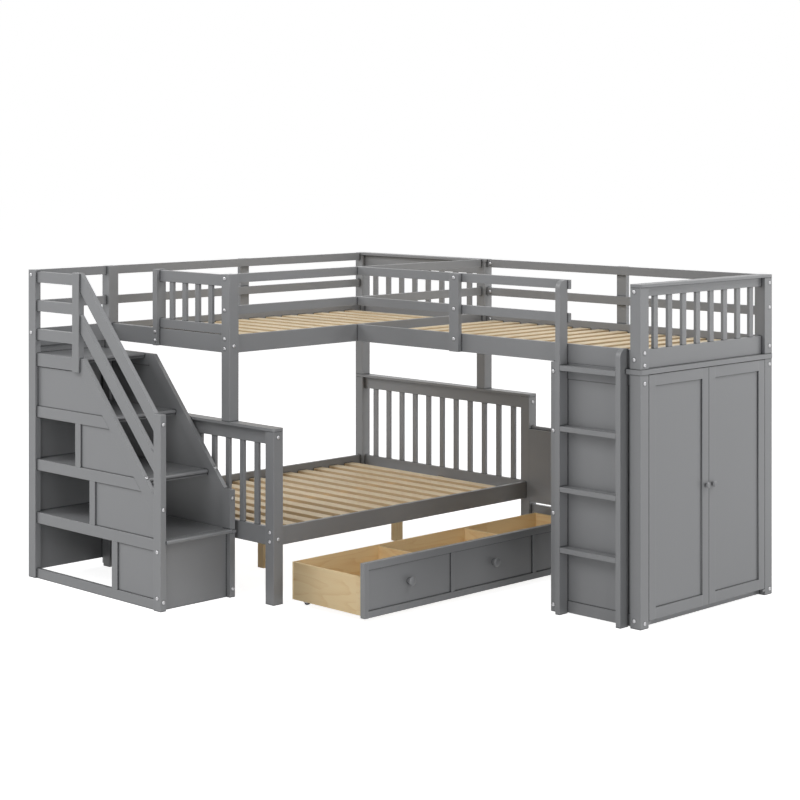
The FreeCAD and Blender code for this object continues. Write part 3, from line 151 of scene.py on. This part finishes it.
RING_WAVES = dict(along=1.1, across=7.5, detail=1.5, roughness=0.45)
RING_JITTER = dict(along=4.0, across=60.0, detail=2.0)
RING_PLACE = (0.35, 9.0)                # shares of the jitter and the waves: 9 rings to a wave
RING_POWER = 2.2                        # how late in a ring its wood darkens
RING_END = (0.93, 1.0)                  # where in a ring its dark line fades

KNOT_SCALE = (1.8, 6.0)                 # along and across the board
KNOT_SIZE = (0.025, 0.07)               # where a knot begins to fade, and where it ends
KNOT_SHARE = 0.6

# ---------------------------------------------------------------- steel, wheels and floor
STEEL = (0.46, 0.46, 0.47)
STEEL_DULL = 0.82                       # tone of the dull clouds against the bright metal
STEEL_SCRATCHES = dict(along=40.0, across=900.0, detail=3.0)
STEEL_CLOUDS = dict(scale=60.0, detail=2.0)
SCRATCH_RELIEF = dict(depth=0.03, strength=0.3)
STEEL_ROUGH = (0.28, 0.50)

WHEEL = (0.020, 0.020, 0.022)
WHEEL_DUSTY = (0.070, 0.070, 0.072)
WHEEL_SPECKLE = dict(scale=500.0, detail=3.0)
WHEEL_DUST = dict(scale=35.0, detail=3.0)
DUST_SHARE = 0.5                        # how much of the dusty tone shows in thick dust
SPECKLE_RELIEF = dict(depth=0.08, strength=0.5)
WHEEL_ROUGH = (0.45, 0.70)

WHITE = (1.0, 1.0, 1.0)
FLOOR = (0.60, 0.60, 0.60)
FLOOR_FAINT = (0.594, 0.594, 0.594)
FLOOR_CLOUDS = dict(scale=4.0, detail=2.0)
FLOOR_ROUGH = 0.9
FLOOR_HALF = 60.0                       # metres from its middle to each side
FLOOR_DROP = 0.5                        # mm that it lies under the feet
# The floor's own white near the object and away from it, and the distances where they begin.
FLOOR_GLOW = (0.90, 1.0)
FLOOR_REACH = (2.5, 6.0)

# ---------------------------------------------------------------- lamps and camera
LAMP_AIM = Vector((0.0, 0.0, 0.8))
LAMPS = (
    # name, azimuth and elevation in degrees, distance and width in metres, watts
    ("left", -150, 28, 12.0, 6.0, 612.0),
    ("right", 35, 50, 12.0, 6.0, 606.0),
    ("right_low", -15, 8, 12.0, 6.0, 306.0),
    ("front", -90, 45, 7.0, 3.5, 148.0),
    ("front_low", -65, 14, 7.0, 3.5, 56.0),
    ("side_low", 50, 14, 7.0, 3.5, 56.0),
)

CAMERA_PLACE = (7.2377, -7.18165, 2.2991)
CAMERA_TURN = 45.05         # degrees about the vertical; the camera is level
LENS = 87.03
SENSOR_WIDTH = 36.0
SHIFT_Y = -0.3141
CLIP_END = 200.0

# ---------------------------------------------------------------- shapes made here
# A turned shape is pairs of radius and height, in mm, from its foot outwards.
BOLT_HEIGHT = 4.5
BOLT_PROFILE = ((10.0, 0.0), (10.0, 0.9), (9.6, 1.9), (8.4, 3.0), (6.4, 3.9), (4.0, 4.4), (3.4, 4.5))
BOLT_SIDES = 24
SEAT_PROBE = 2.0            # a bolt head's board fills the point this far behind the head
HEX_HALF_WIDTH = 2.7        # the key socket: half its width across the flats
HEX_FLOOR = 1.4             # and the height of its floor

FLANGE_PROFILE = ((12.6, 0.0), (26.0, 0.0), (26.0, 2.0), (24.5, 3.0), (16.5, 3.5), (15.5, 4.5),
                  (15.5, 13.0), (12.6, 13.0))
FLANGE_SIDES = 36

KNOB_PROFILE = ((14.0, 0.0), (14.0, 2.0), (12.0, 3.5), (9.0, 5.0), (8.5, 9.0), (10.0, 13.0),
                (15.5, 16.0), (20.5, 19.0), (22.8, 22.5), (23.0, 25.5), (21.5, 28.5), (17.5, 31.0),
                (11.0, 32.6), (4.0, 33.0))
KNOB_SIDES = 40

# Changes to the CAD boards, in mm, that the photo asked for.
FAR_TOP_RAIL_LOW = 1563.5   # lower edge of the bunk's far top rail
JOINT_GAP = 3.0             # open joint under the bunk's near low rail
NEAR_GUARD_CUT = 16.0       # taken off the end of the loft's near guard rails
HEADBOARD_SPREAD = 5.0      # how far the last headboard spindle moves


# ---------------------------------------------------------------- material helpers
# The Mix node's inputs, factor first, and its output, for colours and for vectors.
MIX_SOCKETS = {"RGBA": ((0, 6, 7), 2), "VECTOR": ((0, 4, 5), 1)}
RISING, FALLING = (0.0, 1.0), (1.0, 0.0)
MOSTLY = 0.5                # share of a face's direction above which it looks along an axis


class Graph:
    """A small wrapper that adds nodes to one material and links them."""

    def __init__(self, name):
        self.material = bpy.data.materials.new(name)
        self.material.use_nodes = True
        self.tree = self.material.node_tree
        self.shader = self.tree.nodes["Principled BSDF"]

    def add(self, kind, **settings):
        node = self.tree.nodes.new(kind)
        for name, value in settings.items():
            setattr(node, name, value)
        return node

    def feed(self, socket, value):
        """Sets a number or a colour on a socket, or links another node's output to it."""
        if isinstance(value, (int, float)):
            socket.default_value = value
        elif isinstance(value, tuple):
            socket.default_value = (*value, 1.0)
        else:
            self.tree.links.new(value, socket)

    def shade(self, name, value):
        """Feeds one socket of the shader."""
        self.feed(self.shader.inputs[name], value)

    def own_place(self):
        """A point's place in its own object, which moves with it."""
        return self.add("ShaderNodeTexCoord").outputs["Object"]

    def math(self, operation, *values):
        node = self.add("ShaderNodeMath", operation=operation)
        for socket, value in zip(node.inputs, values):
            self.feed(socket, value)
        return node.outputs[0]

    def weighed(self, values, weights, start=0.0):
        """The sum of the values, each times its weight."""
        total = start
        for value, weight in zip(values, weights):
            total = self.math("MULTIPLY_ADD", value, weight, total)
        return total

    def mix(self, factor, first, second, kind="RGBA"):
        node = self.add("ShaderNodeMix", data_type=kind)
        inputs, output = MIX_SOCKETS[kind]
        for index, value in zip(inputs, (factor, first, second)):
            self.feed(node.inputs[index], value)
        return node.outputs[output]

    def parts(self, vector):
        node = self.add("ShaderNodeSeparateXYZ")
        self.feed(node.inputs[0], vector)
        return node.outputs

    def joined(self, values):
        node = self.add("ShaderNodeCombineXYZ")
        for socket, value in zip(node.inputs, values):
            self.feed(socket, value)
        return node.outputs[0]

    def reordered(self, vector, order):
        """The vector with its parts in another order, such as YXZ."""
        parts = self.parts(vector)
        return self.joined([parts[name] for name in order])

    def noise(self, vector, scale, detail, roughness=0.5, distortion=0.0):
        node = self.add("ShaderNodeTexNoise")
        self.feed(node.inputs["Vector"], vector)
        self.feed(node.inputs["Scale"], scale)
        self.feed(node.inputs["Detail"], detail)
        self.feed(node.inputs["Roughness"], roughness)
        self.feed(node.inputs["Distortion"], distortion)
        return node.outputs["Fac"]

    def stretched(self, vector, along, across):
        node = self.add("ShaderNodeMapping")
        self.feed(node.inputs["Vector"], vector)
        node.inputs["Scale"].default_value = (along, across, across)
        return node.outputs["Vector"]

    def streaks(self, vector, along, across, **settings):
        """Noise with one scale along the vector's first part and another across it."""
        return self.noise(self.stretched(vector, along, across), scale=1.0, **settings)

    def ramp(self, factor, places, colours):
        node = self.add("ShaderNodeValToRGB")
        self.feed(node.inputs["Fac"], factor)
        elements = node.color_ramp.elements
        for place in places[1:-1]:
            elements.new(place)
        for element, place, colour in zip(elements, places, colours):
            element.position = place
            element.color = (*colour, 1.0)
        return node.outputs["Color"]

    def remap(self, value, source, target):
        """The value moved from one range to another, and kept inside the second."""
        node = self.add("ShaderNodeMapRange")
        self.feed(node.inputs["Value"], value)
        names = ("From Min", "From Max", "To Min", "To Max")
        for name, number in zip(names, (*source, *target)):
            self.feed(node.inputs[name], number)
        return node.outputs["Result"]

    def bump(self, height, depth, strength, normal=None):
        node = self.add("ShaderNodeBump")
        self.feed(node.inputs["Height"], height)
        self.feed(node.inputs["Distance"], depth * MM)
        self.feed(node.inputs["Strength"], strength)
        if normal is not None:
            self.feed(node.inputs["Normal"], normal)
        return node.outputs["Normal"]

    def occlusion(self, reach, **settings):
        node = self.add("ShaderNodeAmbientOcclusion", samples=OCCLUSION_SAMPLES, **settings)
        self.feed(node.inputs["Distance"], reach * MM)
        return node.outputs["AO"]

    def facing(self, geometry, axis, test):
        """Tests whether a face looks mostly along one axis, either way."""
        share = self.math("ABSOLUTE", self.parts(geometry.outputs["True Normal"])[axis])
        return self.math(test, share, MOSTLY)


def board_coordinates(graph, direction):
    """Own coordinates with the length of the board first, moved at random for each board;
    also the board's chance from 0 to 1, and the geometry node."""
    place = graph.own_place()
    geometry = graph.add("ShaderNodeNewGeometry")
    if direction == "h":
        looks_along_x = graph.facing(geometry, "X", "GREATER_THAN")
        vector = graph.mix(looks_along_x, place, graph.reordered(place, LENGTH_FIRST["y"]), "VECTOR")
    else:
        vector = graph.reordered(place, LENGTH_FIRST[direction])
    chance = geometry.outputs["Random Per Island"]
    shift = graph.add("ShaderNodeVectorMath", operation="ADD")
    graph.feed(shift.inputs[0], vector)
    graph.feed(shift.inputs[1], graph.joined([graph.math("MULTIPLY", chance, span) for span in BOARD_SHIFT]))
    return shift.outputs[0], chance, geometry


def worn_edges(graph):
    """1 at the outer edges of a board, 0 from one reach inwards."""
    inner = graph.occlusion(EDGE_REACH, inside=True, only_local=True)
    return graph.remap(inner, EDGE_OCCLUSION, RISING)


def unshaded_by_creases(graph):
    """Mask of the painted shade: 1 on open faces, falling to 0 in joints, recesses and gaps within one reach
    of a board.
    """
    return graph.remap(graph.occlusion(CREASE_REACH), CREASE_OCCLUSION, RISING)


# ---------------------------------------------------------------- materials
@functools.cache
def paint(direction):
    """Satin grey paint on wood: faint grain, a slight orange peel and paler worn edges, with painted
    shade that darkens its joints and recesses, which are also duller."""
    graph = Graph("grey_paint_" + direction)
    vector, chance, _ = board_coordinates(graph, direction)
    grain = graph.streaks(vector, **PAINT_GRAIN)
    clouds = graph.noise(vector, **PAINT_CLOUDS)
    tone = graph.weighed((clouds, grain, chance), PAINT_TONE)
    colour = graph.mix(tone, PAINT_DARK, PAINT_LIGHT)
    wear = graph.remap(clouds, NOISE_RANGE, EDGE_WEAR)
    colour = graph.mix(graph.math("MULTIPLY", worn_edges(graph), wear), colour, PAINT_EDGE)
    unshaded = unshaded_by_creases(graph)
    # painted shade: the colour darkens towards near black in joints, recesses and gaps
    graph.shade("Base Color", graph.mix(unshaded, PAINTED_CREASE_SHADE, colour))
    rough = graph.weighed((grain, clouds), PAINT_ROUGHER, PAINT_ROUGH)
    dull = graph.math("MULTIPLY", graph.math("SUBTRACT", 1.0, unshaded), CREASE_ROUGH)
    graph.shade("Roughness", graph.math("MAXIMUM", rough, dull))
    peel = graph.noise(vector, **PAINT_PEEL)
    normal = graph.bump(grain, **GRAIN_RELIEF)
    graph.shade("Normal", graph.bump(peel, **PEEL_RELIEF, normal=normal))
    return graph.material


def growth_rings(graph, vector):
    """Contours of a slow noise along the board: soft early wood that ends in a dark line."""
    waves = graph.streaks(vector, **RING_WAVES)
    jitter = graph.streaks(vector, **RING_JITTER)
    saw = graph.math("FRACT", graph.weighed((jitter, waves), RING_PLACE))
    late = graph.math("POWER", saw, RING_POWER)
    return graph.math("MULTIPLY", late, graph.remap(saw, RING_END, FALLING))


def pine(name, direction, tones, side_shade=None):
    """Clear pine: growth rings along the board, fine fibres and a few small knots.  With a side shade
    colour, shade is painted on the boards' sides, which are darker than their tops."""
    graph = Graph(name + direction)
    vector, chance, geometry = board_coordinates(graph, direction)
    rings = growth_rings(graph, vector)
    fibre = graph.streaks(vector, **PINE_FIBRE)
    streaks = graph.streaks(vector, **PINE_STREAKS)
    tone = graph.weighed((fibre, rings, streaks, chance), PINE_TONE)
    colour = graph.ramp(tone, PINE_STOPS, tones)
    knots = graph.add("ShaderNodeTexVoronoi", feature="F1")
    graph.feed(knots.inputs["Vector"], graph.stretched(vector, *KNOT_SCALE))
    graph.feed(knots.inputs["Scale"], 1.0)
    knot = graph.remap(knots.outputs["Distance"], KNOT_SIZE, FALLING)
    colour = graph.mix(graph.math("MULTIPLY", knot, KNOT_SHARE), colour, tones[-1])
    if side_shade:
        # painted shade on the faces that look sideways
        is_side = graph.facing(geometry, "Z", "LESS_THAN")
        colour = graph.mix(graph.math("MULTIPLY", is_side, SIDE_SHADE_SHARE), colour, side_shade)
    graph.shade("Base Color", colour)
    graph.shade("Roughness", graph.remap(fibre, FIBRE_RANGE, PINE_ROUGH))
    graph.shade("Normal", graph.bump(fibre, **FIBRE_RELIEF))
    graph.shade("Specular IOR Level", PINE_SPECULAR)
    return graph.material


@functools.cache
def slat_pine(direction):
    """The slats' pale pine, with painted shade on their sides."""
    return pine("slat_pine_", direction, SLAT_PINE, PAINTED_SIDE_SHADE)


@functools.cache
def drawer_pine(direction):
    """The warmer pine of the drawer's boards and of the centre legs."""
    return pine("pine_", direction, DRAWER_PINE)


@functools.cache
def zinc_steel():
    """Zinc-plated steel with fine scratches and dull clouds."""
    graph = Graph("zinc_plated_steel")
    place = graph.own_place()
    scratches = graph.streaks(place, **STEEL_SCRATCHES)
    clouds = graph.noise(place, **STEEL_CLOUDS)
    dull = tuple(part * STEEL_DULL for part in STEEL)
    graph.shade("Base Color", graph.mix(clouds, dull, STEEL))
    graph.shade("Roughness", graph.remap(scratches, NOISE_RANGE, STEEL_ROUGH))
    graph.shade("Normal", graph.bump(scratches, **SCRATCH_RELIEF))
    graph.shade("Metallic", 1.0)
    return graph.material


@functools.cache
def wheel_plastic():
    """Black moulded plastic, speckled and a little dusty."""
    graph = Graph("wheel_plastic")
    place = graph.own_place()
    speckle = graph.noise(place, **WHEEL_SPECKLE)
    dust = graph.noise(place, **WHEEL_DUST)
    graph.shade("Base Color", graph.mix(graph.math("MULTIPLY", dust, DUST_SHARE), WHEEL, WHEEL_DUSTY))
    graph.shade("Roughness", graph.remap(dust, NOISE_RANGE, WHEEL_ROUGH))
    graph.shade("Normal", graph.bump(speckle, **SPECKLE_RELIEF))
    return graph.material


def material_of(node):
    """The material of one CAD node, made once for each kind and direction of the grain."""
    direction = GRAIN_OF.get(node, UPRIGHT)
    if node in STEEL_NODES:
        return zinc_steel()
    if node in WHEEL_NODES:
        return wheel_plastic()
    if node in SLAT_NODES:
        return slat_pine(direction)
    if node in PINE_NODES:
        return drawer_pine(direction)
    return paint(direction)


# ---------------------------------------------------------------- the CAD nodes
def ease_edges(obj, node):
    """Rounds an object's edges by its node's width, with the shading of flat boards."""
    weld = obj.modifiers.new("weld", "WELD")
    weld.merge_threshold = SAME_PLACE * MM
    bevel = obj.modifiers.new("eased_edges", "BEVEL")
    bevel.width = ROUND_OF.get(node, DEFAULT_ROUND) * MM
    bevel.segments = ROUND_SEGMENTS
    bevel.limit_method = "ANGLE"
    bevel.angle_limit = math.radians(ROUND_ANGLE)
    bevel.use_clamp_overlap = True
    smooth = obj.modifiers.new("smooth_faces", "WEIGHTED_NORMAL")
    smooth.keep_sharp = False
    smooth.weight = FACE_WEIGHT


def dress_frame():
    """Gives every CAD node its material and eases its edges."""
    for name, obj in NODES.items():
        obj.data.materials.clear()
        obj.data.materials.append(material_of(name))
        ease_edges(obj, name)


def islands(obj):
    """The separate solids of one node, each as the lowest and highest corner."""
    mesh = bmesh.new()
    mesh.from_mesh(obj.data)
    bmesh.ops.remove_doubles(mesh, verts=mesh.verts, dist=SAME_PLACE * MM)
    seen = set()
    found = []
    for start in mesh.verts:
        if start in seen:
            continue
        seen.add(start)
        stack, members = [start], []
        while stack:
            vertex = stack.pop()
            members.append(vertex.co.copy())
            for edge in vertex.link_edges:
                other = edge.other_vert(vertex)
                if other not in seen:
                    seen.add(other)
                    stack.append(other)
        low = Vector(min(co[axis] for co in members) for axis in range(3))
        high = Vector(max(co[axis] for co in members) for axis in range(3))
        found.append((low, high))
    mesh.free()
    return found


# ---------------------------------------------------------------- new pieces
def add_piece(name, mesh, node):
    """Makes an object of a bmesh, with its faces turned outward, and with the material and
    the body of one CAD node."""
    bmesh.ops.recalc_face_normals(mesh, faces=mesh.faces)
    data = bpy.data.meshes.new(name)
    mesh.to_mesh(data)
    mesh.free()
    data.materials.append(material_of(node))
    obj = bpy.data.objects.new(name, data)
    bpy.context.scene.collection.objects.link(obj)
    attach(obj, BODY_OF[node])
    return obj


def ring(mesh, place, turn, radius, height, sides):
    """One ring of a lathe shape; radius is a number or a function of the angle."""
    made = []
    for index in range(sides):
        angle = math.tau * index / sides
        reach = radius(angle) if callable(radius) else radius
        local = Vector((reach * math.cos(angle), reach * math.sin(angle), height)) * MM
        made.append(mesh.verts.new(place + turn @ local))
    return made


def bridge(mesh, first, second):
    """A band of smooth faces between two rings."""
    for index, corner in enumerate(first):
        following = (index + 1) % len(first)
        face = mesh.faces.new((corner, first[following], second[following], second[index]))
        face.smooth = True


def lathe(mesh, place, outward, profile, sides):
    """A turned shape with its foot at a place, and its rings from the foot outwards."""
    turn = outward.to_track_quat("Z", "Y").to_matrix()
    rings = [ring(mesh, place, turn, radius, height, sides) for radius, height in profile]
    for first, second in zip(rings, rings[1:]):
        bridge(mesh, first, second)
    return rings


def cap(mesh, rings):
    """Closes the two ends of a turned shape."""
    mesh.faces.new(rings[-1])
    mesh.faces.new(list(reversed(rings[0])))


def hexagon(half_width):
    """Radius of a hexagon with that half width across its flats, by angle."""
    def reach(angle):
        return half_width / math.cos((angle + math.pi / 6) % (math.pi / 3) - math.pi / 6)
    return reach


def is_inside(point, boards):
    """Whether a point is inside the box of any board."""
    return any(all(low[k] < point[k] < high[k] for k in range(3)) for low, high in boards)


def bolt_seat(low, high, boards):
    """Foot and outward direction of one bolt head: away from the board behind it."""
    size = high - low
    centre = (low + high) / 2
    axis = min(range(3), key=lambda index: size[index])
    if size[axis] > 2 * BOLT_HEIGHT * MM:
        # a head on a sloping board: its box is deep along two axes, whose sizes give the slope
        outward = Vector((size.z, 0, size.x)).normalized()
        return centre - outward * (BOLT_HEIGHT * MM / 2), outward
    for sign in (1, -1):
        outward = Vector([sign if index == axis else 0 for index in range(3)])
        foot = centre - outward * (size[axis] / 2)
        if is_inside(foot - outward * (SEAT_PROBE * MM), boards):
            return foot, outward
    raise ValueError("a bolt head is not seated on a board")


def bolt_heads():
    """Low domed heads, each with a hexagon socket."""
    boards = [pair for name, obj in NODES.items() if name != "bolt_heads" for pair in islands(obj)]
    socket = hexagon(HEX_HALF_WIDTH)
    profile = BOLT_PROFILE + ((socket, BOLT_HEIGHT), (socket, HEX_FLOOR))
    mesh = bmesh.new()
    for low, high in islands(NODES["bolt_heads"]):
        foot, outward = bolt_seat(low, high, boards)
        cap(mesh, lathe(mesh, foot, outward, profile, BOLT_SIDES))
    piece = add_piece("bolt_domes", mesh, "bolt_heads")
    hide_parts("bolt_heads")


def rod_sockets():
    """Cup flanges that hold the two ends of the hanging rod."""
    low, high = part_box("wardrobe_rod")
    centre = (low + high) / 2
    mesh = bmesh.new()
    for y, sign in ((low.y, 1), (high.y, -1)):
        place = Vector((centre.x, y, centre.z))
        rings = lathe(mesh, place, Vector((0, sign, 0)), FLANGE_PROFILE, FLANGE_SIDES)
        bridge(mesh, rings[-1], rings[0])
    add_piece("rod_sockets", mesh, "wardrobe_rod")


def drawer_knobs():
    """Turned mushroom knobs on the drawer front, each with a collar at its foot."""
    mesh = bmesh.new()
    for low, high in islands(NODES["drawer_knobs"]):
        place = Vector((low.x, (low.y + high.y) / 2, (low.z + high.z) / 2))
        cap(mesh, lathe(mesh, place, Vector((1, 0, 0)), KNOB_PROFILE, KNOB_SIDES))
    piece = add_piece("drawer_knob_turnings", mesh, "drawer_knobs")
    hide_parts("drawer_knobs")


def board(mesh, low, high):
    """One square-edged board between two corners."""
    outline = ((low.x, low.y), (high.x, low.y), (high.x, high.y), (low.x, high.y))
    lower = [mesh.verts.new((x, y, low.z)) for x, y in outline]
    upper = [mesh.verts.new((x, y, high.z)) for x, y in outline]
    mesh.faces.new(list(reversed(lower)))
    mesh.faces.new(upper)
    for index, corner in enumerate(lower):
        following = (index + 1) % len(lower)
        mesh.faces.new((corner, lower[following], upper[following], upper[index]))


def refitted_boards(node, name, refit):
    """The square boards of one node again, after a small change to each one's corners."""
    mesh = bmesh.new()
    for low, high in islands(NODES[node]):
        refit(low, high)
        board(mesh, low, high)
    piece = add_piece(name, mesh, node)
    ease_edges(piece, node)
    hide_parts(node)


def bunk_end_boards():
    """The rails across the bunk's two ends: the far top rail at its full depth, and an
    open joint between the near low rail and the bed rail under it."""
    bed_rail_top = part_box("bunk_bed_rails")[1].z

    def refit(low, high):
        if low.y > 0:
            low.z = FAR_TOP_RAIL_LOW * MM
        elif low.z < bed_rail_top + MM:
            low.z += JOINT_GAP * MM
    refitted_boards("bunk_end_rails", "bunk_end_boards", refit)


def loft_guard_boards():
    """The loft's guard rails, with the near ones cut back behind the ladder's tall stile."""
    near_end = min(high.x for low, high in islands(NODES["loft_guard_rails"]))

    def refit(low, high):
        if high.x < near_end + MM:
            high.x -= NEAR_GUARD_CUT * MM
    refitted_boards("loft_guard_rails", "loft_guard_boards", refit)


def bed_spindles():
    """The lower bed's spindles, with the headboard's spread a little more to the right."""
    left, right = (corner.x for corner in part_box("lower_bed_spindles"))

    def refit(low, high):
        if low.y > 0:
            shift = HEADBOARD_SPREAD * MM * (low.x - left) / (right - left)
            low.x += shift
            high.x += shift
    refitted_boards("lower_bed_spindles", "lower_bed_spindle_set", refit)


# ---------------------------------------------------------------- stage, light, camera
def studio_rays(tree):
    """1 for the rays that show the plain background: to the camera, in gloss and through glass."""
    path = tree.nodes.new("ShaderNodeLightPath")
    value = path.outputs["Is Camera Ray"]
    for name in ("Is Glossy Ray", "Is Transmission Ray"):
        node = tree.nodes.new("ShaderNodeMath")
        node.operation = "MAXIMUM"
        tree.links.new(value, node.inputs[0])
        tree.links.new(path.outputs[name], node.inputs[1])
        value = node.outputs[0]
    return value


def floor_material():
    """Plain pale floor: it keeps the shadow and otherwise reads as white."""
    graph = Graph("studio_floor")
    place = graph.own_place()
    graph.shade("Base Color", graph.mix(graph.noise(place, **FLOOR_CLOUDS), FLOOR, FLOOR_FAINT))
    graph.shade("Roughness", FLOOR_ROUGH)
    graph.shade("Specular IOR Level", 0.0)
    away = graph.add("ShaderNodeVectorMath", operation="LENGTH")
    graph.feed(away.inputs[0], place)
    glow = graph.remap(away.outputs["Value"], FLOOR_REACH, FLOOR_GLOW)
    graph.shade("Emission Color", WHITE)
    graph.shade("Emission Strength", graph.math("MULTIPLY", studio_rays(graph.tree), glow))
    return graph.material


def floor():
    """A wide plain floor, just under the feet so that no face lies in another."""
    half = FLOOR_HALF
    corners = ((-half, -half, 0), (half, -half, 0), (half, half, 0), (-half, half, 0))
    data = bpy.data.meshes.new("floor")
    data.from_pydata(corners, [], [(0, 1, 2, 3)])
    data.materials.append(floor_material())
    obj = bpy.data.objects.new("floor", data)
    obj.location.z = -FLOOR_DROP * MM
    bpy.context.scene.collection.objects.link(obj)


def world():
    """Plain white surroundings that show to the camera and in gloss; the lamps give the light."""
    made = bpy.data.worlds.new("studio")
    bpy.context.scene.world = made
    made.use_nodes = True
    tree = made.node_tree
    background = tree.nodes["Background"]
    background.inputs["Color"].default_value = (*WHITE, 1.0)
    tree.links.new(studio_rays(tree), background.inputs["Strength"])


def lamps():
    """Large soft lamps in a ring round the bed, each aimed at its middle."""
    for name, azimuth, elevation, distance, width, watts in LAMPS:
        data = bpy.data.lights.new(name, "AREA")
        data.shape = "SQUARE"
        data.size = width
        data.energy = watts
        turn, lift = math.radians(azimuth), math.radians(elevation)
        level = distance * math.cos(lift)
        offset = Vector((level * math.cos(turn), level * math.sin(turn), distance * math.sin(lift)))
        obj = bpy.data.objects.new(name, data)
        obj.location = LAMP_AIM + offset
        obj.rotation_euler = (-offset).to_track_quat("-Z", "Y").to_euler()
        bpy.context.scene.collection.objects.link(obj)


def camera():
    """A level camera with the photo's vertical shift."""
    data = bpy.data.cameras.new("camera")
    data.lens = LENS
    data.sensor_width = SENSOR_WIDTH
    data.shift_y = SHIFT_Y
    data.clip_end = CLIP_END
    obj = bpy.data.objects.new("camera", data)
    obj.location = CAMERA_PLACE
    obj.rotation_euler = (math.radians(90), 0.0, math.radians(CAMERA_TURN))
    bpy.context.scene.collection.objects.link(obj)
    bpy.context.scene.camera = obj


def main():
    dress_frame()
    bolt_heads()
    rod_sockets()
    drawer_knobs()
    bunk_end_boards()
    loft_guard_boards()
    bed_spindles()
    floor()
    world()
    lamps()
    camera()
    bpy.context.scene.view_settings.view_transform = "Standard"


main()
